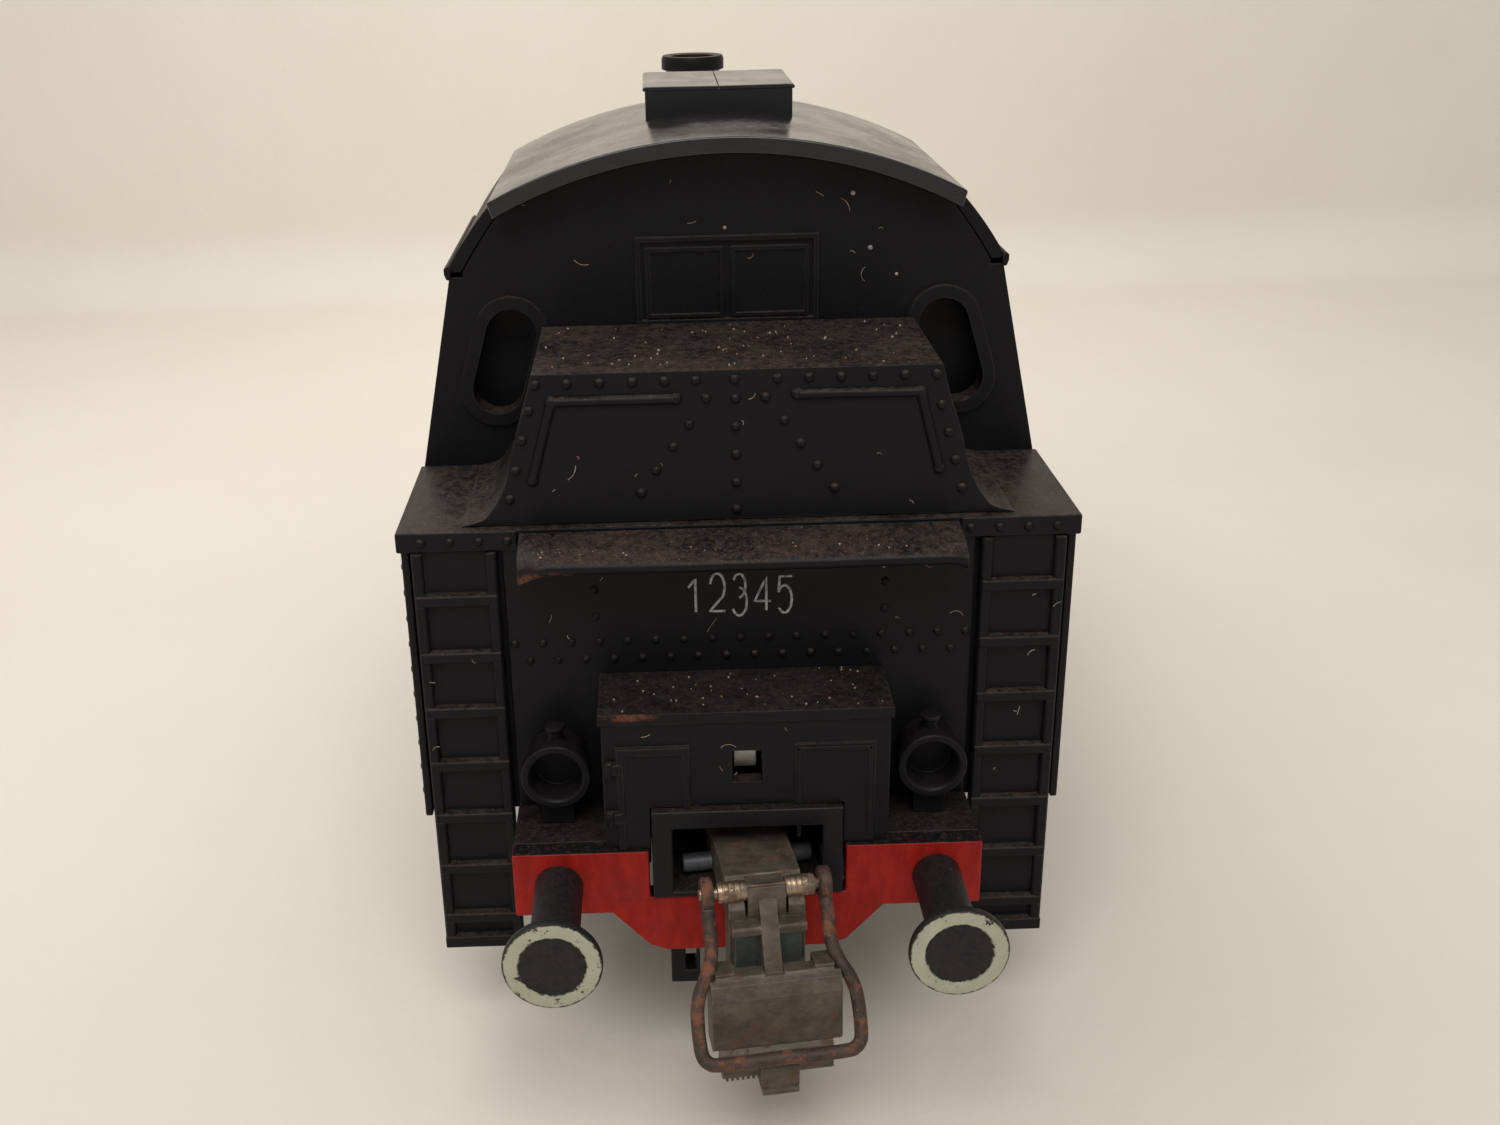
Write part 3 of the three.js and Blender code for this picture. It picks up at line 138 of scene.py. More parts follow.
class Form:
    """Closed forms gathered into one mesh. Every length is in millimetres."""

    def __init__(self):
        self.mesh = bmesh.new()
        self.finish_index = 0

    def faces_from(self, rings, closed_ring=True, caps=True):
        """Skins a list of equally long rings of points."""
        rows = [[self.mesh.verts.new(p) for p in ring] for ring in rings]
        count = len(rows[0])
        spans = count if closed_ring else count - 1
        corners = [(near[i], near[(i + 1) % count], far[(i + 1) % count], far[i])
                   for near, far in zip(rows, rows[1:]) for i in range(spans)]
        if caps:
            corners += [rows[0][::-1], rows[-1]]
        for loop in corners:
            self.mesh.faces.new(loop).material_index = self.finish_index

    def box(self, x, y, z):
        x, y, z = sorted_pair(*x), sorted_pair(*y), sorted_pair(*z)
        low = [(x[0], y[0], z[0]), (x[1], y[0], z[0]), (x[1], y[1], z[0]), (x[0], y[1], z[0])]
        high = [(a, b, z[1]) for a, b, _ in low]
        self.faces_from([low, high])

    def prism(self, outline, axis, span):
        """The outline is (y, z) along x, (x, z) along y and (x, y) along z."""
        self.faces_from([[PLACES[axis](a, b, s) for a, b in outline] for s in sorted_pair(*span)])

    def lathe(self, profile, axis, centre, steps=48):
        """Profile points are (radius, distance along the axis), from one end of the axis to the other."""
        self.faces_from([[turned(max(radius, SMALLEST_RADIUS), along, axis, centre, t) for t in turns(steps)]
                         for radius, along in profile])

    def hoop(self, profile, axis, centre, steps=48):
        """A turned ring: the profile is a closed loop of (radius, distance along the axis)."""
        self.faces_from([[turned(radius, along, axis, centre, t) for radius, along in profile]
                         for t in turns(steps) + [2 * math.pi]], caps=False)

    def tube(self, path, radius, sides=12, squash=1.0):
        """A round wire along a path with closed ends."""
        path = [Vector(p) for p in path]
        directions = [(after - before).normalized()
                      for before, after in zip(path[:1] + path[:-1], path[1:] + path[-1:])]
        side = directions[0].orthogonal().normalized()
        rings = []
        for point, direction in zip(path, directions):
            side = (side - direction * side.dot(direction)).normalized()
            other = direction.cross(side)
            rings.append([point + (side * math.cos(t) + other * math.sin(t) * squash) * radius
                          for t in turns(sides)])
        self.faces_from(rings)

    def rivet(self, point, normal, radius, height, sides=10):
        """A domed head standing on a surface."""
        point, normal = Vector(point), Vector(normal).normalized()
        a = normal.orthogonal().normalized()
        b = normal.cross(a)
        dome = ((1.0, -0.3), (1.0, 0.1), (0.9, 0.5), (0.62, 0.84), (0.28, 0.98))
        rings = [[point + (a * math.cos(t) + b * math.sin(t)) * radius * share + normal * height * rise
                  for t in turns(sides)] for share, rise in dome]
        self.faces_from(rings)

    def rivets(self, points, normal, radius, height, sides=10):
        for point in points:
            self.rivet(point, normal, radius, height, sides)

    def placed(self, name, *finishes):
        """Puts the forms into the scene as one object, in metres."""
        self.mesh.transform(Matrix.Scale(MM, 4))
        data = bpy.data.meshes.new(name)
        self.mesh.to_mesh(data)
        self.mesh.free()
        data.shade_smooth()
        for finish in finishes:
            data.materials.append(finish)
        placed = bpy.data.objects.new(name, data)
        bpy.context.scene.collection.objects.link(placed)
        return placed

    def piece(self, name, finish, replaces=(), bevel=0.0, sharp=35, segments=2, body=BODY,
              slot="black_plastic", more_finishes=()):
        """Makes a piece of the model. The bevel rounds the edges sharper than the given angle in degrees."""
        bmesh.ops.remove_doubles(self.mesh, verts=self.mesh.verts, dist=MERGE_DISTANCE)
        bmesh.ops.recalc_face_normals(self.mesh, faces=self.mesh.faces)
        piece = self.placed(name, finish, *more_finishes)
        piece.data.set_sharp_from_angle(angle=math.radians(sharp))
        if bevel:
            round_edges(piece, bevel, sharp, segments)
        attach(piece, body)
        if replaces:
            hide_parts(*replaces)


def round_edges(piece, bevel, sharp, segments=2, clamp=True):
    rounding = piece.modifiers.new("rounded_edges", "BEVEL")
    rounding.width = bevel * MM
    rounding.segments = segments
    rounding.limit_method = "ANGLE"
    rounding.angle_limit = math.radians(sharp)
    rounding.harden_normals = True
    rounding.use_clamp_overlap = clamp


CAD_WELD = 0.002
CAD_FLAT = 0.6
CAD_SHARP = 28


def round_cad_node(name, finish, bevel, split_faces=False):
    """Gives a CAD solid its finish and rounded edges. Faces with several openings have to be split first."""
    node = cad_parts[name]
    node.data.materials.clear()
    node.data.materials.append(finish)
    weld = node.modifiers.new("weld", "WELD")
    weld.merge_threshold = CAD_WELD * MM
    flat = node.modifiers.new("flat_faces", "DECIMATE")
    flat.decimate_type = "DISSOLVE"
    flat.angle_limit = math.radians(CAD_FLAT)
    if split_faces:
        split = node.modifiers.new("split_faces", "TRIANGULATE")
        split.min_vertices = 5
        split.ngon_method = "CLIP"
    if bevel:
        round_edges(node, bevel, CAD_SHARP, clamp=not split_faces)
    by_angle = node.modifiers.new("smooth", "WEIGHTED_NORMAL")
    by_angle.keep_sharp = True


def arc(centre, radius, start, end, steps):
    """Points on an arc, angles in degrees."""
    angles = [math.radians(start + (end - start) * i / steps) for i in range(steps + 1)]
    return [(centre[0] + radius * math.cos(t), centre[1] + radius * math.sin(t)) for t in angles]


def raised(base, profile):
    """A profile whose second numbers count from the base."""
    return [(first, base + second) for first, second in profile]


def mirrored(outline, side):
    """The outline on the right side (1) or on the left (-1)."""
    return [(side * first, second) for first, second in outline]


def curve_through(points, steps):
    """Smooth points through the given ones (Catmull-Rom)."""
    points = [Vector(p) for p in points]
    padded = [points[0] * 2 - points[1], *points, points[-1] * 2 - points[-2]]
    path = []
    for i in range(1, len(padded) - 2):
        a, b, c, d = padded[i - 1:i + 3]
        for k in range(steps):
            t = k / steps
            path.append(0.5 * (2 * b + (c - a) * t + (2 * a - 5 * b + 4 * c - d) * t * t
                               + (3 * b - a - 3 * c + d) * t ** 3))
    path.append(points[-1])
    return path


# ------------------------------------------------------------------ materials

def opaque(colour):
    """Adds the fourth number to a colour written as three."""
    return (*colour, 1) if isinstance(colour, tuple) else colour


class Finish:
    """One node material; its places and lengths are in millimetres."""

    def __init__(self, name):
        self.material = bpy.data.materials.new(name)
        self.material.use_nodes = True
        self.tree = self.material.node_tree
        self.shader = self.tree.nodes["Principled BSDF"]
        coordinates = self.node("ShaderNodeTexCoord")
        scale = self.node("ShaderNodeVectorMath", operation="SCALE")
        scale.inputs["Scale"].default_value = 1 / MM
        self.tree.links.new(coordinates.outputs["Object"], scale.inputs[0])
        self.place = scale.outputs[0]
        self.geometry = self.node("ShaderNodeNewGeometry")

    def node(self, kind, **settings):
        made = self.tree.nodes.new(kind)
        for key, value in settings.items():
            setattr(made, key, value)
        return made

    def plug(self, socket, value):
        if isinstance(value, bpy.types.NodeSocket):
            self.tree.links.new(value, socket)
        else:
            socket.default_value = value

    def math(self, operation, a, b=0.0, clamp=False):
        made = self.node("ShaderNodeMath", operation=operation, use_clamp=clamp)
        self.plug(made.inputs[0], a)
        self.plug(made.inputs[1], b)
        return made.outputs[0]

    def times(self, a, b, clamp=False):
        return self.math("MULTIPLY", a, b, clamp)

    def plus(self, a, b):
        return self.math("ADD", a, b)

    def inverse(self, a):
        return self.math("SUBTRACT", 1.0, a)

    def mix(self, factor, a, b):
        """Mixes two colours."""
        made = self.node("ShaderNodeMix", data_type="RGBA")
        self.plug(made.inputs["Factor"], factor)
        self.plug(made.inputs[6], opaque(a))
        self.plug(made.inputs[7], opaque(b))
        return made.outputs[2]

    def blend(self, factor, a, b):
        """Mixes two numbers."""
        made = self.node("ShaderNodeMix", data_type="FLOAT")
        self.plug(made.inputs["Factor"], factor)
        self.plug(made.inputs[2], a)
        self.plug(made.inputs[3], b)
        return made.outputs[0]

    def vector(self, operation, a, b=(0, 0, 0)):
        made = self.node("ShaderNodeVectorMath", operation=operation)
        self.plug(made.inputs[0], a)
        self.plug(made.inputs[1], b)
        return made.outputs["Value" if operation in ("LENGTH", "DOT_PRODUCT") else "Vector"]

    def stretched(self, x, y, z):
        return self.vector("MULTIPLY", self.place, (x, y, z))

    def noise(self, scale, detail=5.0, roughness=0.6, place=None, seed=0.0):
        made = self.node("ShaderNodeTexNoise", noise_dimensions="4D")
        self.plug(made.inputs["Vector"], place or self.place)
        made.inputs["W"].default_value = seed
        made.inputs["Scale"].default_value = scale
        made.inputs["Detail"].default_value = detail
        made.inputs["Roughness"].default_value = roughness
        return made.outputs["Fac"]

    def step(self, value, low, high):
        """0 below low, 1 above high, smooth between them."""
        made = self.node("ShaderNodeMapRange", interpolation_type="SMOOTHSTEP")
        self.plug(made.inputs["Value"], value)
        made.inputs["From Min"].default_value = low
        made.inputs["From Max"].default_value = high
        return made.outputs[0]

    def specks(self, scale, size, share, seed=0.0):
        """Small round spots, in a share of the cells."""
        cells = self.node("ShaderNodeTexVoronoi", voronoi_dimensions="4D")
        self.plug(cells.inputs["Vector"], self.place)
        cells.inputs["W"].default_value = seed
        cells.inputs["Scale"].default_value = scale
        split = self.node("ShaderNodeSeparateColor")
        self.tree.links.new(cells.outputs["Color"], split.inputs[0])
        spot = self.inverse(self.step(cells.outputs["Distance"], size * 0.6, size))
        chosen = self.math("LESS_THAN", split.outputs[0], share)
        return self.times(spot, chosen), split.outputs[1]

    def patch(self, centre, reach):
        """1 at a place on the model, fading to 0 at the given reach along each axis."""
        offset = self.vector("DIVIDE", self.vector("SUBTRACT", self.place, centre), reach)
        return self.inverse(self.step(self.vector("LENGTH", offset), 0.45, 1.0))

    def facing_up(self, low=0.25, high=0.95):
        split = self.node("ShaderNodeSeparateXYZ")
        self.tree.links.new(self.geometry.outputs["Normal"], split.inputs[0])
        return self.step(split.outputs[2], low, high)

    def edges(self, width, low=0.02, high=0.14):
        """1 on edges, from how far a rounded normal leaves the true one."""
        rounded = self.node("ShaderNodeBevel", samples=4)
        rounded.inputs["Radius"].default_value = width * MM
        same = self.vector("DOT_PRODUCT", rounded.outputs[0], self.geometry.outputs["Normal"])
        return self.step(self.inverse(same), low, high)

    def patches(self, low, high, *settings, **seed):
        """Ragged patches: noise cut off between low and high."""
        return self.step(self.noise(*settings, **seed), low, high)

    def coat(self, mask, colour, share=None):
        """Lays a colour over the one so far."""
        self.colour = self.mix(mask if share is None else self.times(mask, share), self.colour, colour)

    def bump(self, height, depth, strength=1.0):
        """Height 1 stands up by depth millimetres."""
        made = self.node("ShaderNodeBump")
        made.inputs["Strength"].default_value = strength
        made.inputs["Distance"].default_value = depth * MM
        self.tree.links.new(height, made.inputs["Height"])
        self.tree.links.new(made.outputs[0], self.shader.inputs["Normal"])

    def finish(self, roughness, metallic=0.0, level=0.5):
        self.plug(self.shader.inputs["Base Color"], self.colour)
        self.plug(self.shader.inputs["Roughness"], roughness)
        self.plug(self.shader.inputs["Metallic"], metallic)
        self.shader.inputs["Specular IOR Level"].default_value = level
        return self.material


def black_plastic(name, dust=1.0, gloss=0.40, wear_and_highlight=1.0, level=0.13, stains=()):
    """Satin black mouldings, dusty on top and worn brown on the edges, with painted highlights of lighter grey
    in patches along the edges. Stains are places and reaches.
    """
    f = Finish(name)
    cloud = f.noise(0.22, 6, 0.62)
    fine = f.noise(2.4, 7, 0.68, seed=3)
    grit = f.noise(11, 3, 0.6, seed=7)
    base = f.mix(cloud, (0.0052, 0.0048, 0.0062), (0.0088, 0.0080, 0.0094))
    up = f.facing_up()
    settled = f.plus(f.times(fine, 0.62), f.times(cloud, 0.38))
    film = f.times(f.times(up, f.step(settled, 0.36, 0.64)), 0.75 * dust, clamp=True)
    f.colour = f.mix(film, base, (0.068, 0.049, 0.040))
    rim = f.edges(0.13)
    # painted highlight: lighter grey in patches along the edges stands in for edge highlights, partly rubbed
    # wear
    polish_and_painted_highlight = f.times(rim, f.patches(0.40, 0.62, 0.35, 4, 0.6, seed=31))
    f.coat(f.times(polish_and_painted_highlight, 0.75 * wear_and_highlight, clamp=True), (0.045, 0.042, 0.042))
    worn = f.times(rim, f.patches(0.50, 0.66, 0.9, 5, 0.7, seed=11))
    f.coat(f.times(worn, 0.75 * wear_and_highlight, clamp=True), (0.060, 0.032, 0.021))
    thick = f.times(up, f.patches(0.53, 0.62, 6.5, 6, 0.8, seed=21))
    f.coat(f.times(thick, 0.6 * dust, clamp=True), (0.135, 0.080, 0.048))
    grains, grain_shade = f.specks(6.5, 0.30, 0.40, seed=13)
    grains = f.times(f.times(grains, up), 0.7 * dust, clamp=True)
    f.coat(grains, f.mix(grain_shade, (0.006, 0.005, 0.006), (0.20, 0.125, 0.075)))
    lint, shade = f.specks(0.85, 0.060, 0.16, seed=2)
    f.coat(lint, f.mix(shade, (0.26, 0.10, 0.04), (0.34, 0.29, 0.22)), 0.8)
    crumbs, crumb_shade = f.specks(3.6, 0.20, 0.34, seed=5)
    crumbs = f.times(crumbs, f.plus(f.times(up, 0.75 * dust), 0.07))
    f.coat(crumbs, f.mix(crumb_shade, (0.10, 0.050, 0.025), (0.22, 0.16, 0.10)))
    for centre, reach in stains:
        rust = f.times(f.patch(centre, reach), f.patches(0.40, 0.58, 1.6, 7, 0.75, seed=17))
        f.coat(rust, (0.165, 0.056, 0.028), 0.85)
    rough = f.blend(film, f.blend(f.step(cloud, 0.35, 0.7), gloss - 0.05, gloss + 0.10), 0.62)
    grain = f.plus(f.times(grit, 0.35), f.times(fine, 0.45))
    f.bump(f.plus(grain, f.times(f.plus(lint, crumbs), 1.2)), 0.035, 0.55)
    return f.finish(rough, 0.0, level)


def red_paint():
    """Streaky red paint, grimy, scratched and chipped, with painted highlights in pale patches along the
    edges, black with dirt on its upward faces.
    """
    f = Finish("red_beam_paint")
    cloud = f.noise(0.45, 6, 0.65)
    streaks = f.noise(1.6, 7, 0.7, f.stretched(1.0, 1.0, 0.35), seed=2)
    f.colour = f.mix(f.step(streaks, 0.35, 0.7), (0.24, 0.009, 0.007), (0.35, 0.017, 0.011))
    f.coat(f.step(cloud, 0.50, 0.72), (0.12, 0.016, 0.012), 0.5)
    scratch = f.patches(0.655, 0.70, 1.0, 4, 0.5, f.stretched(0.9, 1, 6.0), seed=9)
    f.coat(scratch, (0.10, 0.012, 0.010), 0.5)
    chips = f.times(f.edges(0.22), f.patches(0.52, 0.60, 1.3, 6, 0.75, seed=4))
    f.coat(chips, (0.03, 0.022, 0.02), 0.85)
    # painted highlight: pale patches along the edges stand in for edge highlights
    bright = f.times(f.edges(0.12), f.patches(0.60, 0.66, 0.7, 4, 0.7, seed=14))
    f.coat(bright, (0.52, 0.35, 0.30), 0.7)
    specks, _ = f.specks(1.5, 0.11, 0.16, seed=6)
    f.coat(specks, (0.05, 0.012, 0.01), 0.7)
    dirt = f.patches(0.50, 0.66, 5.0, 6, 0.75, seed=8)
    f.coat(f.facing_up(0.6, 0.9), f.mix(dirt, (0.0075, 0.0068, 0.008), (0.055, 0.036, 0.025)))
    f.bump(f.plus(f.times(streaks, 0.6), f.times(cloud, 0.5)), 0.05, 0.5)
    return f.finish(f.blend(streaks, 0.36, 0.55), 0.0, 0.14)


def buffer_paint(name, x):
    """Black metal; the head, centred at the given x, has a chipped pale ring round a dark middle."""
    f = Finish(name)
    fine = f.noise(3.2, 7, 0.72)
    pits = f.noise(7.5, 4, 0.65, seed=4)
    f.colour = f.mix(f.step(fine, 0.3, 0.75), (0.0075, 0.0070, 0.0080), (0.022, 0.019, 0.018))
    split = f.node("ShaderNodeSeparateXYZ")
    f.tree.links.new(f.place, split.inputs[0])
    across = f.math("SUBTRACT", split.outputs[0], x)
    rise = f.math("SUBTRACT", split.outputs[2], BUFFER_HEIGHT)
    distance = f.math("SQRT", f.plus(f.times(across, across), f.times(rise, rise)))
    ragged = f.plus(distance, f.times(f.math("SUBTRACT", fine, 0.5), 0.42))
    along = f.math("ABSOLUTE", split.outputs[1])
    on_face = f.step(along, BEAM_FACE + BUFFER_REACH - 0.42, BEAM_FACE + BUFFER_REACH - 0.30)
    ring = f.times(f.step(ragged, 1.66, 1.74), f.inverse(f.step(ragged, 2.35, 2.43)))
    chips = f.patches(0.585, 0.61, 1.25, 7, 0.72, seed=9 + x)
    ring = f.times(f.times(ring, on_face), f.inverse(chips))
    pale_colour = f.mix(f.noise(0.9, 5, 0.6, seed=3), (0.30, 0.30, 0.215), (0.46, 0.45, 0.34))
    grey, shade = f.specks(2.2, 0.20, 0.35, seed=3)
    f.coat(grey, (0.16, 0.15, 0.14), f.times(shade, 0.35))
    f.coat(ring, pale_colour, 0.95)
    worn = f.times(f.edges(0.14), f.patches(0.48, 0.60, 1.1, 5, 0.7, seed=8))
    f.coat(worn, (0.10, 0.075, 0.05), 0.6)
    f.bump(f.plus(f.times(pits, 0.8), f.times(ring, 0.6)), 0.05, 0.7)
    return f.finish(f.blend(fine, 0.36, 0.62), 0.0, 0.22)


def worn_metal(name, dark, light, rust, rust_share, roughness=(0.34, 0.62), metallic=0.75, bright=0.5):
    """Bare or blackened metal with tarnish, rust patches and bright rubbed edges."""
    f = Finish(name)
    cloud = f.noise(0.75, 6, 0.68)
    fine = f.noise(5.0, 6, 0.7, seed=5)
    brushed = f.noise(2.0, 5, 0.6, f.stretched(0.6, 2.2, 1.2), seed=8)
    tone = f.plus(f.times(cloud, 0.55), f.times(brushed, 0.45))
    f.colour = f.mix(f.step(tone, 0.33, 0.68), dark, light)
    patches = f.patches(0.72 - rust_share, 0.80 - rust_share, 0.95, 8, 0.74, seed=12)
    f.coat(patches, rust, 0.8)
    rubbed = f.times(f.edges(0.14), f.patches(0.38, 0.62, 1.4, 5, 0.7, seed=15))
    f.coat(f.times(rubbed, bright, clamp=True), (0.34, 0.31, 0.26))
    crumbs, _ = f.specks(2.0, 0.13, 0.16, seed=4)
    f.coat(crumbs, (0.30, 0.25, 0.19), 0.6)
    rough = f.blend(patches, f.blend(fine, *roughness), 0.8)
    f.bump(f.plus(f.times(fine, 0.5), f.times(patches, 0.5)), 0.04, 0.6)
    return f.finish(rough, f.blend(patches, metallic, metallic * 0.25), 0.5)


def number_paint():
    f = Finish("number_paint")
    rubbed = f.patches(0.44, 0.66, 3.4, 6, 0.7)
    f.colour = f.mix(rubbed, (0.40, 0.40, 0.41), (0.10, 0.10, 0.105))
    f.bump(f.noise(9.0, 3, 0.6), 0.02, 0.5)
    return f.finish(f.blend(rubbed, 0.5, 0.7))


def backdrop_paper():
    f = Finish("backdrop_paper")
    mottle = f.noise(0.032, 5, 0.55)
    pulp = f.noise(0.22, 6, 0.62, seed=3)
    f.colour = f.mix(f.step(mottle, 0.3, 0.7), (0.735, 0.680, 0.598), (0.755, 0.702, 0.622))
    f.bump(f.plus(f.times(pulp, 0.5), mottle), 1.1, 0.30)
    return f.finish(0.9, 0.0, 0.2)


# ------------------------------------------------------------------ bunker end

EXTENSION_OUTLINE = [(14.4, 31.05), (13.3, 31.35), (12.8, 31.85), (12.35, 32.55), (11.9, 33.6),
                     (11.42, 35.5), (10.81, 37.4), (10.35, 39.05)]
EXTENSION_REAR = BODY_REAR + 0.5


def bunker_extension(finish):
    """Raised coal bunker with flared feet, open towards the cab."""
    half = [(p.x, p.y) for p in curve_through([(x, z, 0) for x, z in EXTENSION_OUTLINE], 5)]
    outline = half + mirrored(half[::-1], -1)
    form = Form()
    form.prism(outline, "y", (EXTENSION_REAR, CAB_REAR - 0.4))
    form.piece("bunker_extension_panel", finish, ["bunker_extension"], 0.13, 30)


def extension_details(finish):
    """Rivets and the two raised angle bars on the bunker's rear panel."""
    face = EXTENSION_REAR
    top = (-10.15, -8.57, -6.93, -5.29, -3.67, -2.09, -0.15, 2.02, 3.61, 5.23, 6.84, 8.45, 10.04)
    points = [(x, face, 38.53) for x in top]
    points += [(-0.1, face, z) for z in (37.54, 36.07, 34.58, 33.07, 31.6)]
    left = ((-1.59, 37.58), (-2.48, 36.24), (-3.31, 35.07), (-4.21, 33.83), (-5.02, 32.62),
            (-10.57, 37.17), (-10.99, 35.62), (-11.40, 34.0), (-11.81, 32.46))
    right = ((1.41, 37.56), (2.36, 36.32), (3.2, 35.09), (4.07, 33.87), (4.96, 32.61),
             (10.36, 36.92), (10.77, 35.45), (11.16, 33.96), (11.56, 32.41))
    points += [(x, face, z) for x, z in left + right]
    form = Form()
    form.rivets(points, (0, -1, 0), 0.27, 0.24, 12)
    bars = (((-3.12, 37.62), (-9.41, 37.62), (-10.57, 33.48)), ((3.0, 37.7), (9.29, 37.65), (10.33, 33.55)))
    for inner, corner, bottom in bars:
        for start, end, steps in ((inner, corner, 8), (corner, bottom, 6)):
            form.tube([(x, face - 0.06, z) for x, z in straight(start, end, steps)], 0.27, 10)
        form.rivets([(x, face, z) for x, z in (inner, corner, bottom)], (0, -1, 0), 0.33, 0.34, 12)
    form.piece("bunker_panel_rivets_and_bars", finish, sharp=50)


def rear_wall_rivets(finish):
    """Two rows below the number, three rivets at each side and four under each end of the lip."""
    form = Form()
    pitch = 1.5
    upper = [(pitch * i, BODY_REAR, 24.5) for i in range(-8, 9)]
    lower = [(pitch * (i + 0.5), BODY_REAR, 23.5) for i in range(-8, 8)]
    columns = [(x, BODY_REAR, z) for x in (-7.65, 7.65) for z in (28.95, 27.5, 25.95)]
    form.rivets(upper + lower + columns, (0, -1, 0), 0.23, 0.2)
    lip = [(side * x, BODY_REAR - 0.2, 30.45) for side in (-1, 1) for x in (16.5, 15.0, 13.5, 12.0)]
    form.rivets(lip, (0, -1, 0), 0.25, 0.2)
    form.piece("rear_wall_rivets", finish, sharp=50)


def side_wall_rivets(finish):
    """Rows and columns of rivets along the tank, cab and bunker sides."""
    pitch = 1.49
    for name, side in SIDES:
        form = Form()
        spots = []
        for y in (BODY_REAR + 0.75, CAB_REAR - 0.8, CAB_REAR + 0.8, CAB_FRONT - 0.8, CAB_FRONT + 0.85,
                  TANK_FRONT - 0.75):
            z = 15.4
            while z < 29.0:
                spots.append((y, z))
                z += pitch
        for z in (15.0, 29.3):
            y = BODY_REAR + 2.2
            while y < TANK_FRONT - 1.8:
                near_seam = min(abs(y - CAB_REAR), abs(y - CAB_FRONT)) < 1.5
                in_door = -30.1 < y < -24.0
                if not near_seam and not in_door:
                    spots.append((y, z))
                y += pitch
        form.rivets([(side * BODY_SIDE, y, z) for y, z in spots], (side, 0, 0), 0.24, 0.16, 8)
        form.piece(f"side_rivets_{name}", finish, sharp=50)


def ledge(finish):
    """Lamp-iron ledge across the bunker, bent and worn along its front edge."""
    back = BODY_REAR - 0.27
    front = BODY_REAR - 3.5
    half_width = 11.35
    steps = 64
    rings = []
    rng = random.Random(5)
    for i in range(steps + 1):
        x = -half_width + 2 * half_width * i / steps
        from_left = x + half_width
        from_right = half_width - x
        curl = 0.62 * max(0.0, 1 - from_left / 1.7) ** 1.6 + 0.28 * max(0.0, 1 - from_right / 0.9) ** 1.5
        nibble = (rng.random() - 0.5) * 0.05
        sag = 0.05 * math.sin(math.pi * i / steps)
        nose = front + nibble + 0.30 * max(0.0, 1 - from_left / 0.9)
        top, low = SHELF_TOP - 0.12, SHELF_TOP - 1.08
        section = [
            (back, top), (back - 1.1, top - 0.10), (back - 2.3, top - 0.30 - sag * 0.5 - curl * 0.18),
            (nose + 0.28, top - 0.47 - sag - curl * 0.55), (nose + 0.05, top - 0.60 - sag - curl * 0.75),
            (nose - 0.02, top - 0.86 - sag - curl * 0.95), (nose + 0.10, top - 1.10 - sag - curl),
            (nose + 0.40, top - 1.14 - sag - curl * 0.9), (back - 1.9, low - 0.02 - curl * 0.25),
            (back, low + 0.1),
        ]
        rings.append([(x, y, z) for y, z in section])
    form = Form()
    form.faces_from(rings)
    form.piece("rear_ledge_plate", finish, ["rear_ledge"], 0.0, 60)


LADDER_INNER, LADDER_OUTER, LADDER_BOTTOM = 12.64, 17.08, 5.7


def ladders(finish):
    """Ladder at each side of the rear wall: a back plate, two rails, seven rungs and a foot."""
    rear = BODY_REAR - 0.35
    back = BODY_REAR + 0.35
    top = SHELF_TOP - SHELF_LIP - 0.05
    for name, side in SIDES:
        form = Form()
        form.box((side * LADDER_INNER, side * LADDER_OUTER), (BODY_REAR + 0.05, back), (LADDER_BOTTOM, top))
        for near, far in ((LADDER_INNER, LADDER_INNER + 0.62), (LADDER_OUTER - 0.62, LADDER_OUTER)):
            rail = [(near, BODY_REAR + 0.1), (near, rear + 0.12), (near + 0.12, rear), (far - 0.12, rear),
                    (far, rear + 0.12), (far, BODY_REAR + 0.1)]
            form.prism(mirrored(rail, side), "z", (LADDER_BOTTOM, top))
        for rung in range(7):
            h = 27.5 - rung * 3.28
            tread = [(BODY_REAR + 0.1, h - 0.62), (rear, h - 0.62), (rear - 0.09, h - 0.5),
                     (rear - 0.09, h - 0.12), (rear - 0.02, h), (BODY_REAR + 0.1, h + 0.04)]
            form.prism(tread, "x", (side * (LADDER_INNER + 0.08), side * (LADDER_OUTER - 0.08)))
        form.box((side * LADDER_INNER, side * LADDER_OUTER), (rear - 0.1, back), (LADDER_BOTTOM - 0.1, 6.3))
        form.piece(f"ladder_steps_{name}", finish, [f"ladder_{name}"], 0.06, 30)


KNUCKLE = ((0.2, -0.42), (0.24, -0.36), (0.24, 0.36), (0.2, 0.42))


def toolbox_details(finish):
    """Two hinge knuckles near the left end and the shallow frame of the right-hand locker."""
    form = Form()
    for z in (19.55, 16.65):
        form.lathe(raised(z, KNUCKLE), "z", (-7.12, TOOLBOX_REAR - 0.2), 12)
    for x, z in (((2.62, 6.52), (20.32, 20.52)), ((2.62, 2.82), (15.2, 20.5)), ((6.32, 6.52), (15.2, 20.5))):
        form.box(x, (TOOLBOX_REAR - 0.22, TOOLBOX_REAR - 0.05), z)
    form.piece("toolbox_locker_details", finish, bevel=0.04)


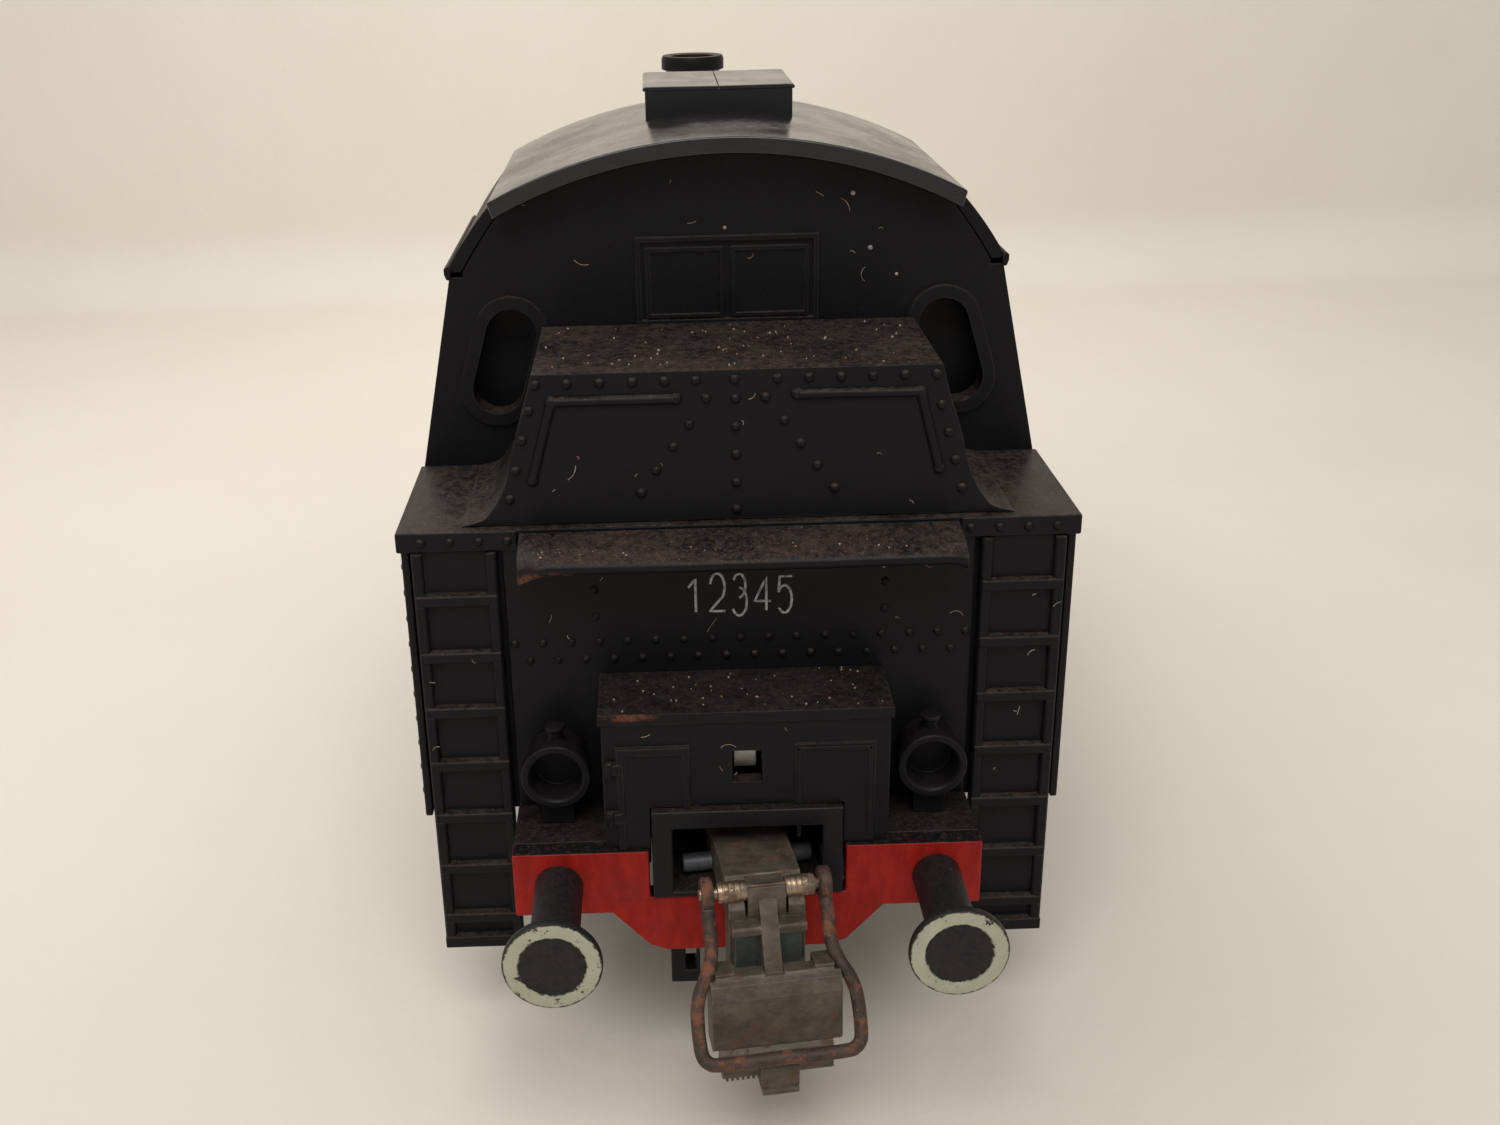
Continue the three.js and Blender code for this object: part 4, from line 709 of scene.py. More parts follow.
def running_number(finish):
    """Five thin plain digits on the bunker's rear wall."""
    height, width, gap = 1.9, 0.92, 0.27
    glyphs = {
        "1": [[(0.15, 0.74), (0.55, 1.0), (0.55, 0.0)]],
        "2": [arc((0.5, 0.72), 0.42, 165, 0, 9) + arc((0.5, 0.72), 0.42, 0, -42, 3)[1:]
              + [(0.06, 0.0), (0.95, 0.0)]],
        "3": [arc((0.46, 0.755), 0.36, 150, -90, 11), arc((0.46, 0.27), 0.43, 90, -150, 12)],
        "4": [[(0.72, 0.0), (0.72, 1.0), (0.05, 0.27), (0.98, 0.27)]],
        "5": [[(0.9, 1.0), (0.2, 1.0), (0.12, 0.52)] + arc((0.47, 0.31), 0.42, 130, -140, 12)],
    }
    form = Form()
    start = -2.85
    for i, digit in enumerate("12345"):
        left = start + i * (width + gap)
        for stroke in glyphs[digit]:
            path = [(left + a * width, BODY_REAR - 0.015, 26.07 + b * height) for a, b in stroke]
            fine = [spot for near, far in zip(path, path[1:]) for spot in straight(near, far, 4)[:-1]]
            form.tube(fine + [path[-1]], 0.075, 6)
    form.piece("running_number", finish, sharp=70)


# ------------------------------------------------------------------ cab

def roof_arc(offset, half_width, steps=36):
    """Top of the roof sheet from left to right, raised by the offset."""
    radius = ROOF_RADIUS + offset
    across = [-half_width + 2 * half_width * i / steps for i in range(steps + 1)]
    return [(x, ROOF_APEX - ROOF_RADIUS + math.sqrt(radius * radius - x * x)) for x in across]


def shoulder(offset, side, steps=12):
    """The roof's rounded shoulder from the crown down to the gutter."""
    start = roof_arc(offset, CROWN_HALF_WIDTH)[-1]
    bend = (14.4 + offset * 0.7, 44.3 + offset * 0.7)
    end = (15.6 + offset, 42.1)
    points = []
    for i in range(1, steps + 1):
        t = i / steps
        x = (1 - t) ** 2 * start[0] + 2 * t * (1 - t) * bend[0] + t * t * end[0]
        z = (1 - t) ** 2 * start[1] + 2 * t * (1 - t) * bend[1] + t * t * end[1]
        points.append((side * x, z))
    return points


def cab_roof(finish, canopy_finish):
    """Crown sheet with overhanging ends, over the rounded canopy."""
    rear, front = CAB_REAR - 1.95, CAB_FRONT + 1.75
    form = Form()
    tip = 12.85
    outer = roof_arc(0.0, tip)
    inner = roof_arc(-ROOF_THICKNESS, tip - 0.28)
    form.prism(outer + inner[::-1], "y", (rear, front))
    form.piece("cab_roof_sheet", finish, ["cab_roof"], 0.13, 38, 3)
    form = Form()
    over, under = [shoulder(offset, -1)[::-1] + roof_arc(offset, CROWN_HALF_WIDTH) + shoulder(offset, 1)
                   for offset in (-0.10, -ROOF_THICKNESS)]
    form.prism(over + under[::-1], "y", (CAB_REAR, CAB_FRONT))
    form.piece("cab_canopy", canopy_finish, bevel=0.08, sharp=38)


def cab_window_shade_sheets(finish):
    """Dark sheets set back behind the two leaning oval windows of the cab's rear wall: painted shade that
    keeps the inside of the cab dark.
    """
    form = Form()
    near = CAB_REAR + SHADE_SHEET_DEPTH
    top, foot, radius = (12.4, 38.0), (13.3, 34.7), 1.85
    lean = math.degrees(math.atan2(foot[0] - top[0], top[1] - foot[1]))
    outline = arc(top, radius, -lean, 180 - lean, 12) + arc(foot, radius, 180 - lean, 360 - lean, 12)
    for side in (-1, 1):
        form.prism(mirrored(outline, side), "y", (near, near + 0.2))
    form.piece("cab_rear_window_shade_sheets", finish, bevel=0.03, sharp=40)


def roof_gutters(finish):
    """Thin rain strips where the canopy meets the cab sides."""
    form = Form()
    for side in (-1, 1):
        strip = [(15.22, 41.72), (15.48, 41.74), (15.60, 42.05), (15.60, 42.36), (15.42, 42.50),
                 (15.22, 42.30)]
        form.prism(mirrored(strip, side), "y", (CAB_REAR - 0.22, CAB_FRONT + 0.1))
    form.piece("roof_gutters", finish, bevel=0.05, sharp=45)


def ventilator(finish):
    """Box ventilator whose lid stands out all round."""
    rear, front = -24.3, -15.6
    form = Form()
    form.prism([(-4.28, 47.6), (4.28, 47.6), (4.28, 50.66), (-4.28, 50.66)], "y", (rear + 0.08, front - 0.08))
    for side in (-1, 1):
        lid = [(0.02, 50.62), (0.02, 50.86), (4.02, 50.88), (4.3, 50.86), (4.41, 50.76), (4.41, 50.62)]
        form.prism(mirrored(lid, side), "y", (rear, front))
    form.piece("roof_ventilator_box", finish, ["roof_ventilator"], 0.05, 30)


def cab_details(finish, metal):
    """Raised frames of the side openings, grab rails, door frames and the bush of the key hole."""
    form = Form()
    rails = Form()
    rear, front, sill, head, rim = -22.8, -18.0, 33.4, 40.2, 0.45
    lean = (BODY_SIDE - 15.35) / (SHELF_TOP - 41.8)
    for _, side in SIDES:
        for y0, y1, z0, z1 in ((rear - rim, front + rim, head, head + rim),
                               (rear - rim, front + rim, sill - rim, sill), (rear - rim, rear, sill, head),
                               (front, front + rim, sill, head)):
            low, high = [BODY_SIDE + lean * (z - SHELF_TOP) for z in (z0, z1)]
            quad = [(low - 0.5, z0), (low + 0.13, z0), (high + 0.13, z1), (high - 0.5, z1)]
            form.prism(mirrored(quad, side), "y", (y0, y1))
        for y in (-30.3, -23.8):
            rail = ((17.45, 17.6), (17.60, 18.1), (17.60, 24.0), (17.60, 27.4), (17.45, 27.9))
            rails.tube(curve_through([(side * x, y, z) for x, z in rail], 4), RAIL_RADIUS, 8)
        for out, y, z in ((17.72, (-29.7, -24.5), (15.0, 15.3)), (17.68, (-29.75, -29.55), (15.3, 30.0)),
                          (17.68, (-24.65, -24.45), (15.3, 30.0))):
            form.box((side * 17.45, side * out), y, z)
    form.piece("cab_side_frames", finish, bevel=0.05)
    rails.piece("cab_grab_rails", metal, sharp=60)
    low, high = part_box("winding_arbor")
    centre = ((low.y + high.y) / 2 / MM, (low.z + high.z) / 2 / MM)
    bush = Form()
    bush.hoop([(3.2, 16.6), (3.75, 17.5), (3.7, 17.75), (3.3, 17.78), (3.15, 17.6)], "x", centre, 40)
    bush.piece("key_hole_bush", finish, sharp=40)


# ------------------------------------------------------------------ tanks, boiler and smokebox

BOILER_AXIS = (0, BOILER_HEIGHT)


def saddle(form, radius, top_of_fade):
    """Bends the foot of an upright turned form down over the boiler."""
    for vert in form.mesh.verts:
        x, z = vert.co.x, vert.co.z
        drop = radius - math.sqrt(max(radius * radius - x * x, 0.0))
        fade = max(0.0, min(1.0, (top_of_fade - (z - BOILER_HEIGHT)) / (top_of_fade - radius)))
        vert.co.z = z - drop * fade


def boiler(finish):
    """Barrel, open below behind the tanks' fronts, with five bands, a turret and a whistle."""
    axis = BOILER_AXIS
    form = Form()
    cut = -29.0

    def shell(outer, inner, span):
        form.prism(arc(axis, outer, cut, 180 - cut, 72) + arc(axis, inner, 180 - cut, cut, 72), "y", span)

    shell(BOILER_RADIUS, BOILER_RADIUS - BOILER_SHELL, (CAB_FRONT + 0.05, TANK_FRONT - 1.5))
    inside = BOILER_RADIUS - BOILER_SHELL
    form.hoop([(BOILER_RADIUS, TANK_FRONT - 1.5), (BOILER_RADIUS, BOILER_FRONT), (inside, BOILER_FRONT),
               (inside, TANK_FRONT - 1.5)], "y", axis, 96)
    for y in (-15.8, -4.0, 4.4, 13.4, 24.9):
        shell(BOILER_RADIUS + 0.13, BOILER_RADIUS - 0.3, (y - 0.38, y + 0.38))
    form.lathe([(0, 38.7), (1.25, 38.7), (1.25, 39.5), (1.02, 39.7), (1.02, 40.5), (0.72, 40.7),
                (0.66, 41.25), (0.3, 41.38), (0, 41.4)], "z", (0, 0.9), 24)
    form.lathe([(0, 38.7), (0.5, 38.7), (0.5, 40.2), (0.7, 40.3), (0.7, 40.7), (0.2, 40.9), (0, 40.9)], "z",
               (2.6, -1.6), 16)
    form.piece("boiler_with_bands", finish, ["boiler_barrel"], 0.05, 30)


def boiler_pipes(finish, metal):
    """Sand pipes, feed pipes and the handrails with their knobs."""
    pipes = Form()
    for _, side in SIDES:
        for y, spread in ((18.9, -1.2), (22.1, 1.2)):
            path = []
            for i in range(15):
                angle = math.radians(72 - i * 4.2)
                radius = BOILER_RADIUS + 0.18
                path.append((side * radius * math.cos(angle), y + spread * min(1.0, i / 5),
                             BOILER_HEIGHT + radius * math.sin(angle)))
            pipes.tube(path, 0.22, 8)
        feed = ((8.0, 29.5, 35.4), (9.0, 29.0, 34.2), (9.45, 27.5, 32.8), (9.6, 26.7, 31.6),
                (9.6, 26.6, 30.2))
        pipes.tube(curve_through([(side * x, y, z) for x, y, z in feed], 4), 0.42, 10)
    pipes.piece("boiler_pipes", finish, sharp=60)
    rails = Form()
    for _, side in SIDES:
        x, z = side * 8.55, 35.6
        rails.tube([(x, CAB_FRONT + 0.3 + 46.2 * i / 16, z) for i in range(17)], RAIL_RADIUS, 8)
        rails.tube(curve_through([(x, 29.8, z), (x, 37.0, z), (x, 40.9, z), (x * 0.93, 42.0, z - 0.2),
                                  (side * 6.4, 42.35, 34.6), (side * 5.2, 42.4, 34.2)], 5), RAIL_RADIUS, 8)
        for y in (-13.0, -3.0, 7.0, 16.0, 28.0, 38.0):
            rails.tube([(side * 7.2, y, 35.1), (side * 7.9, y, 35.35), (x, y, z)], 0.14, 8)
            knob = ((0.12, -0.27), (0.27, -0.13), (0.27, 0.13), (0.12, 0.27))
            rails.lathe(raised(y, knob), "y", (x, z), 12)
    rails.piece("boiler_handrails", metal, sharp=60)


def rivet_circle(form, radius, y, count, size, height, outward=False):
    """Rivets round the boiler's line, standing forward or outward."""
    for t in turns(count):
        spot = (radius * math.cos(t), y, BOILER_HEIGHT + radius * math.sin(t))
        form.rivet(spot, (math.cos(t), 0, math.sin(t)) if outward else (0, 1, 0), size, height, 6)


def smokebox(finish):
    """Drum with a closed front and rivets round both its edges and its face."""
    front = SMOKEBOX_FRONT
    form = Form()
    rear = BOILER_FRONT + 0.05
    inside = SMOKEBOX_RADIUS - BOILER_SHELL
    form.hoop([(SMOKEBOX_RADIUS, rear), (SMOKEBOX_RADIUS, front - 0.15), (SMOKEBOX_RADIUS - 0.15, front),
               (0.02, front), (0.02, front - BOILER_SHELL), (inside, front - BOILER_SHELL), (inside, rear)],
              "y", BOILER_AXIS, 96)
    for y in (BOILER_FRONT + 0.6, front - 0.6):
        rivet_circle(form, SMOKEBOX_RADIUS, y, 40, 0.2, 0.14, outward=True)
    rivet_circle(form, 9.05, front, 36, 0.19, 0.14)
    form.piece("smokebox_with_rivets", finish, ["smokebox"], sharp=35)


def smokebox_door(finish, metal):
    """Dished door with two hinge straps, clamps round its edge and a pair of handles."""
    rear = SMOKEBOX_FRONT + 0.05
    form = Form()
    dish = ((0, 0), (8.1, 0), (8.1, 0.35), (7.9, 0.5), (7.35, 0.55), (7.2, 0.75), (6.2, 1.15), (4.8, 1.50),
            (3.2, 1.74), (1.6, 1.86), (0, 1.88))
    form.lathe(raised(rear, dish), "y", BOILER_AXIS, 72)
    for z in (33.4, 26.6):
        path = []
        for i in range(11):
            x = -7.6 + 13.8 * i / 10 * 0.82
            r = math.hypot(x, z - BOILER_HEIGHT)
            bulge = 0.55 + 1.33 * max(0.0, 1 - (r / 7.3) ** 2) if r < 7.3 else 0.5
            path.append((x, rear + bulge + 0.02, z))
        form.tube(path, 0.34, 8, 0.45)
        hinge = ((0.3, -0.75), (0.36, -0.6), (0.36, 0.6), (0.3, 0.75))
        form.lathe(raised(z, hinge), "z", (-7.75, rear + 0.62), 12)
    clamps = [turned(7.65, rear + 0.5, "y", BOILER_AXIS, t) for t in turns(8, 0.5) if math.cos(t) > -0.8]
    form.rivets(clamps, (0, 1, 0), 0.42, 0.3, 6)
    form.piece("smokebox_door_dish", finish, ["smokebox_door"], 0.04, 30)
    handle = Form()
    boss = ((0, 1.6), (0.8, 1.6), (0.8, 2.05), (0.35, 2.2), (0.35, 2.75), (0.2, 2.9), (0, 2.9))
    handle.lathe(raised(rear, boss), "y", BOILER_AXIS, 20)
    levers = (((0, 2.35, 0), (1.1, 2.4, 1.2), (1.5, 2.4, 1.65)),
              ((0, 2.7, 0), (-1.0, 2.7, 1.3), (-1.35, 2.7, 1.75)))
    for lever in levers:
        handle.tube([(x, rear + y, BOILER_HEIGHT - drop) for x, y, drop in lever], RAIL_RADIUS, 8)
    handle.piece("smokebox_door_handle", metal, sharp=50)


def chimney_and_domes(finish):
    """Turned castings whose feet are bent down over the boiler."""
    base = BOILER_HEIGHT + SMOKEBOX_RADIUS
    form = Form()
    foot = ((0, -0.4), (3.55, -0.4), (3.5, 0.1), (3.1, 0.45), (2.6, 1.1), (2.32, 2.2), (2.28, 3.4))
    lip = [(2.42, 45.9), (2.55, 46.05), (2.9, 46.2), (2.9, 47.1), (2.78, 47.38), (2.4, 47.4), (2.0, 47.3),
           (1.9, 46.9), (1.85, 43.0), (0, 42.9)]
    form.lathe(raised(base, foot) + lip, "z", CHIMNEY_PLACE, 56)
    saddle(form, SMOKEBOX_RADIUS - 0.02, SMOKEBOX_RADIUS + 2.0)
    form.piece("chimney_casting", finish, ["chimney"], sharp=40)
    base = BOILER_HEIGHT + BOILER_RADIUS
    for node, y, radius, top in (("steam_dome", 8, 3.5, 44.6), ("sand_dome", 20.5, 3.0, 43.4)):
        form = Form()
        crown = radius * 0.72
        profile = [(0, base - 0.4), (radius + 0.75, base - 0.4), (radius + 0.68, base + 0.1),
                   (radius + 0.3, base + 0.4), (radius + 0.06, base + 1.0), (radius, base + 1.8),
                   (radius, top - crown)]
        for i in range(1, 9):
            t = math.radians(90 * i / 8)
            profile.append((radius * math.cos(t), top - crown + crown * math.sin(t) - 0.02 * (i == 8)))
        form.lathe(profile, "z", (0, y), 56)
        saddle(form, BOILER_RADIUS - 0.02, BOILER_RADIUS + 1.8)
        if node == "sand_dome":
            cap = ((0, -0.5), (1.3, -0.5), (1.3, -0.15), (1.1, -0.03), (0, -0.02))
            form.lathe(raised(top, cap), "z", (0, y), 24)
        form.piece(f"{node}_casting", finish, [node], sharp=40)


def tank_details(finish, metal):
    """Filler lids with hinge and clasp, seams across the tops, rivets on the fronts and grab rails."""
    form = Form()
    for _, side in SIDES:
        x = side * FILLER_SIDE
        form.lathe([(0, 31.9), (1.72, 31.9), (1.72, 32.0), (1.6, 32.09), (0.5, 32.1), (0, 32.1)], "z",
                   (x, 19.5), 32)
        form.box((x - 0.3, x + 0.3), (17.35, 18.1), (31.0, 32.08))
        form.box((x - 0.28, x + 0.28), (20.9, 21.5), (31.0, 31.75))
        for seam in (TANK_FRONT - 3.2, CAB_FRONT + 7.0):
            form.box((side * 10.0, side * BODY_SIDE), (seam, seam + 0.2), (30.98, 31.1))
        for i in range(6):
            form.rivet((side * (10.6 + 1.25 * i), TANK_FRONT + 0.2, 30.4), (0, 1, 0), 0.24, 0.16, 8)
        for z in (16.5, 19.0, 21.5, 24.0, 26.5, 28.6):
            form.rivets([(side * across, TANK_FRONT, z) for across in (16.8, 10.6)], (0, 1, 0), 0.24, 0.16, 8)
    form.piece("tank_lids_and_rivets", finish, bevel=0.04, sharp=40)
    rails = Form()
    for _, side in SIDES:
        rail = ((23.3, 31.0), (23.3, 32.6), (22.9, 33.0), (20.0, 33.0), (16.6, 33.0), (16.2, 32.6),
                (16.2, 31.0))
        rails.tube(curve_through([(side * 17.3, y, z) for y, z in rail], 4), RAIL_RADIUS, 8)
    rails.piece("tank_grab_rails", metal, sharp=60)


# ------------------------------------------------------------------ frame ends

def lamps(finish, lens):
    """Hollow round lamps with a stepped mouth, a vent on top and a foot."""
    for end_name, end in ENDS:
        wall = -BODY_REAR + 0.05 if end < 0 else 44.0
        front = wall + 2.75
        mouth = ((1.63, -1.0), (1.70, -0.92), (1.88, -0.82), (1.88, -0.10), (1.80, 0), (1.50, 0),
                 (1.40, -0.10), (1.34, -0.22), (1.30, -1.70), (0, -1.70))
        profile = raised(wall, ((0, 0), (1.55, 0), (1.63, 0.12))) + raised(front, mouth)
        for side_name, side in SIDES:
            centre = (side * LAMP_SIDE, LAMP_HEIGHT)
            form = Form()
            form.lathe([(radius, end * along) for radius, along in profile], "y", centre, 48)
            middle = end * (wall + 1.5)
            form.lathe([(0.62, 19.2), (0.55, 19.55), (0.42, 19.7), (0.42, 20.1), (0.56, 20.18), (0.56, 20.38),
                        (0.3, 20.44), (0, 20.45)], "z", (centre[0], middle), 20)
            form.box((centre[0] - 0.85, centre[0] + 0.85), (middle - 0.65, middle + 0.65),
                     (BEAM_TOP + 0.03, 16.5))
            form.piece(f"{end_name}_lamp_body_{side_name}", finish,
                       [f"{end_name}_lamp_{side_name}"], 0.05, 32)
            if end > 0:
                glass = Form()
                bulge = ((0, 1.66), (1.27, 1.66), (1.2, 1.2), (0.8, 0.86), (0.4, 0.74), (0, 0.7))
                glass.lathe([(r, end * (front - depth)) for r, depth in bulge], "y", centre, 32)
                glass.piece(f"{end_name}_lamp_lens_{side_name}", lens, sharp=60)


def buffers():
    """Turned shanks with a flanged head and a shallow groove inside the pale ring."""
    paints = {side: buffer_paint(f"buffer_paint_{name}", side * BUFFER_SIDE) for name, side in SIDES}
    face = BEAM_FACE + BUFFER_REACH
    back = face - 0.75
    shank = raised(BEAM_FACE, ((0, 0.05), (1.27, 0.05)))
    flange = raised(back, ((1.27, -0.06), (1.40, 0.02), (2.34, 0.12), (2.46, 0.22), (2.49, 0.34)))
    head = raised(face, ((2.49, -0.16), (2.44, -0.06), (2.2, -0.03), (1.74, -0.015), (1.67, -0.07),
                         (1.0, -0.03), (0, -0.02)))
    for end_name, end in ENDS:
        for side_name, side in SIDES:
            form = Form()
            profile = [(radius, end * along) for radius, along in shank + flange + head]
            form.lathe(profile, "y", (side * BUFFER_SIDE, BUFFER_HEIGHT), 72)
            form.piece(f"{end_name}_buffer_turned_{side_name}", paints[side],
                       [f"{end_name}_buffer_{side_name}"], sharp=32, slot="buffer_metal")


def cylinders(finish):
    """Cylinder blocks with bolted covers, steam pipes, and the treads and rivets of the front footplate."""
    for side_name, side in SIDES:
        centre = (side * CYLINDER_PLACE[0], CYLINDER_PLACE[1])
        form = Form()
        form.lathe([(0, 28.2), (2.6, 28.2), (2.75, 28.3), (3.22, 28.45), (3.25, 28.55), (3.25, 28.9),
                    (3.0, 29.0), (3.0, 36.9), (3.25, 37.0), (3.25, 37.5), (3.1, 37.7), (2.2, 37.8),
                    (1.9, 37.98), (0, 38.0)], "y", centre, 56)
        form.box((centre[0] - 2.7, centre[0] + 2.7), (29.0, 37.2), (9.5, 13.8))
        form.lathe([(0, 26.9), (0.85, 26.9), (1.0, 27.05), (1.0, 28.4), (0, 28.4)], "y", centre, 24)
        form.rivets([turned(2.85, 37.6, "y", centre, t) for t in turns(10, 0.5)], (0, 1, 0), 0.24, 0.28, 6)
        form.rivets([(side * 15.4, y, z) for y in (30.2, 33.1, 36.0) for z in (10.6, 13.1)], (side, 0, 0),
                    0.26, 0.2, 6)
        form.piece(f"cylinder_block_{side_name}", finish, [f"cylinder_{side_name}"], 0.06, 35)
        pipe = Form()
        path = ((8.0, 35.5, 24.5), (9.6, 35.2, 22.0), (11.0, 34.6, 18.2), (11.9, 34.0, 15.4),
                (12.1, 33.8, 13.9))
        pipe.tube(curve_through([(side * x, y, z) for x, y, z in path], 5), 0.95, 16)
        pipe.lathe([(1.2, 13.8), (1.3, 13.9), (1.3, 14.9), (1.1, 15.05)], "z", (side * 12.05, 33.9), 24)
        pipe.piece(f"steam_pipe_{side_name}", finish, sharp=50)
    steps = Form()
    for _, side in SIDES:
        for z in (6.32, 9.92):
            for i in range(7):
                y = 42.0 + 0.53 * i
                steps.box((side * 12.3, side * 14.1), (y, y + 0.2), (z - 0.1, z + 0.06))
    steps.rivets([(side * 13.6, 28.0 + 1.9 * i, BEAM_TOP - 0.04) for i in range(10) for side in (-1, 1)],
                 (0, 0, 1), 0.24, 0.14, 8)
    steps.piece("front_step_treads_and_rivets", finish, sharp=45)


# ------------------------------------------------------------------ wheels and rods

MIRRORED = Matrix.Scale(-1, 4, (1, 0, 0))
CRANK_ANGLES = {"left": -math.pi / 2, "right": 0.0}
SPOKES = 12


def crank_pin(y, angle):
    return (y + CRANK_RADIUS * math.cos(angle), AXLE_HEIGHT + CRANK_RADIUS * math.sin(angle))


def wheel(side, y, crank_angle, name, body, replaced, red, steel):
    """Spoked wheel with tyre, balance weight, crank boss and pin; drawn for the right side."""
    centre = (y, AXLE_HEIGHT)
    form = Form()
    form.hoop([(5.0, 8.0), (5.62, 7.9), (5.62, 9.78), (5.45, 9.85), (5.05, 9.6)], "x", centre, 72)
    form.lathe([(0, 7.22), (1.75, 7.22), (1.95, 7.5), (2.05, 8.3), (1.95, 9.3), (1.8, 9.95), (1.6, 10.0),
                (0, 10.0)], "x", centre, 40)
    for turn in turns(SPOKES, 0.5):
        t = crank_angle + turn
        out, across = Vector((math.cos(t), math.sin(t))), Vector((-math.sin(t), math.cos(t)))
        rings = []
        for r, half, near, far in ((1.7, 0.42, 8.15, 9.45), (3.3, 0.34, 8.3, 9.35), (5.2, 0.40, 8.25, 9.4)):
            mid = Vector(centre) + out * r
            ring = []
            for a, b in ((-1, -0.55), (-0.55, -1), (0.55, -1), (1, -0.55), (1, 0.55), (0.55, 1), (-0.55, 1),
                         (-1, 0.55)):
                spot = mid + across * half * a
                x = (near + far) / 2 + (far - near) / 2 * b
                ring.append((x, spot.x, spot.y))
            rings.append(ring)
        form.faces_from(rings)
    pin = crank_pin(y, crank_angle)
    form.lathe([(0, 8.6), (1.3, 8.6), (1.3, 9.9), (1.2, 10.08), (0, 10.1)], "x", pin, 32)
    boss = [(place[0] + r * math.cos(crank_angle + t), place[1] + r * math.sin(crank_angle + t))
            for place, r, t in ((centre, 1.9, -0.836), (centre, 1.9, 0.836), (pin, 1.2, 1.25),
                                (pin, 1.2, -1.25))]
    form.prism(boss, "x", (8.5, 9.95))
    opposite = math.degrees(crank_angle) + 180
    weight_rim = arc(centre, 5.25, opposite - 44, opposite + 44, 16)
    form.prism(weight_rim + arc(centre, 3.9, opposite - 30, opposite + 30, 8)[::-1], "x", (8.2, 9.6))
    form.finish_index = 1
    form.hoop([(5.6, 7.22), (6.9, 7.2), (7.22, 7.3), (7.3, 7.5), (7.2, 7.78), (6.85, 7.98), (6.45, 8.1),
               (6.32, 8.35), (6.26, 9.85), (6.12, 10.0), (5.6, 10.0)], "x", centre, 96)
    form.lathe([(0, 9.9), (0.6, 9.9), (0.6, 11.4), (0, 11.4)], "x", pin, 24)
    form.lathe([(0, 11.38), (0.9, 11.38), (1.0, 11.46), (1.0, 11.8), (0.88, 11.9), (0, 11.9)], "x", pin, 6)
    if side < 0:
        form.mesh.transform(MIRRORED)
    form.piece(name, red, [replaced], 0.05, 34, body=body, slot="wheel_red", more_finishes=[steel])


def wheels(red, steel):
    for row, y in (("rear", -AXLE_SPACING), ("middle", 0.0), ("front", AXLE_SPACING)):
        for side_name, side in SIDES:
            wheel(side, y, CRANK_ANGLES[side_name], f"{row}_spoked_wheel_{side_name}", f"{row}_wheelset",
                  f"{row}_wheel_{side_name}", red, steel)


def coupling_rods(steel):
    """Fluted rods with an eye and an oil cup at each crank pin; drawn for the right side."""
    for side_name, side in SIDES:
        pins = [crank_pin(y, CRANK_ANGLES[side_name]) for y in (-AXLE_SPACING, 0.0, AXLE_SPACING)]
        z = pins[0][1]
        form = Form()
        for near, far in zip(pins, pins[1:]):
            fluted = ((10.38, -0.78), (11.17, -0.78), (11.17, -0.42), (10.9, -0.3), (10.9, 0.3), (11.17, 0.42),
                      (11.17, 0.78), (10.38, 0.78))
            form.prism(raised(z, fluted), "y", (near[0] + 1.25, far[0] - 1.25))
        for pin in pins:
            form.hoop([(0.8, 10.36), (1.5, 10.36), (1.5, 11.05), (1.4, 11.19), (0.9, 11.19), (0.8, 11.1)],
                      "x", pin, 40)
            oil_cup = ((0.42, 1.35), (0.42, 1.75), (0.3, 1.85), (0, 1.86))
            form.lathe(raised(pin[1], oil_cup), "z", (10.78, pin[0]), 14)
        if side < 0:
            form.mesh.transform(MIRRORED)
        form.piece(f"side_rod_{side_name}", steel, [f"coupling_rod_{side_name}"], 0.05, 34,
                   body=f"{side_name}_rod", slot="steel")


# ------------------------------------------------------------------ couplings

TRUNNION = (-5.75, 14.45)
LOOP_BAR = (-10.4, 7.55)


def coupling_frame(end):
    """Places a form drawn for the bunker end, with its pivot at x = 0, y = 0."""
    turn = (math.pi if end > 0 else 0.0) + COUPLING_SWING
    return Matrix.Translation((0, end * COUPLING_PIVOT, 0)) @ Matrix.Rotation(turn, 4, "Z")


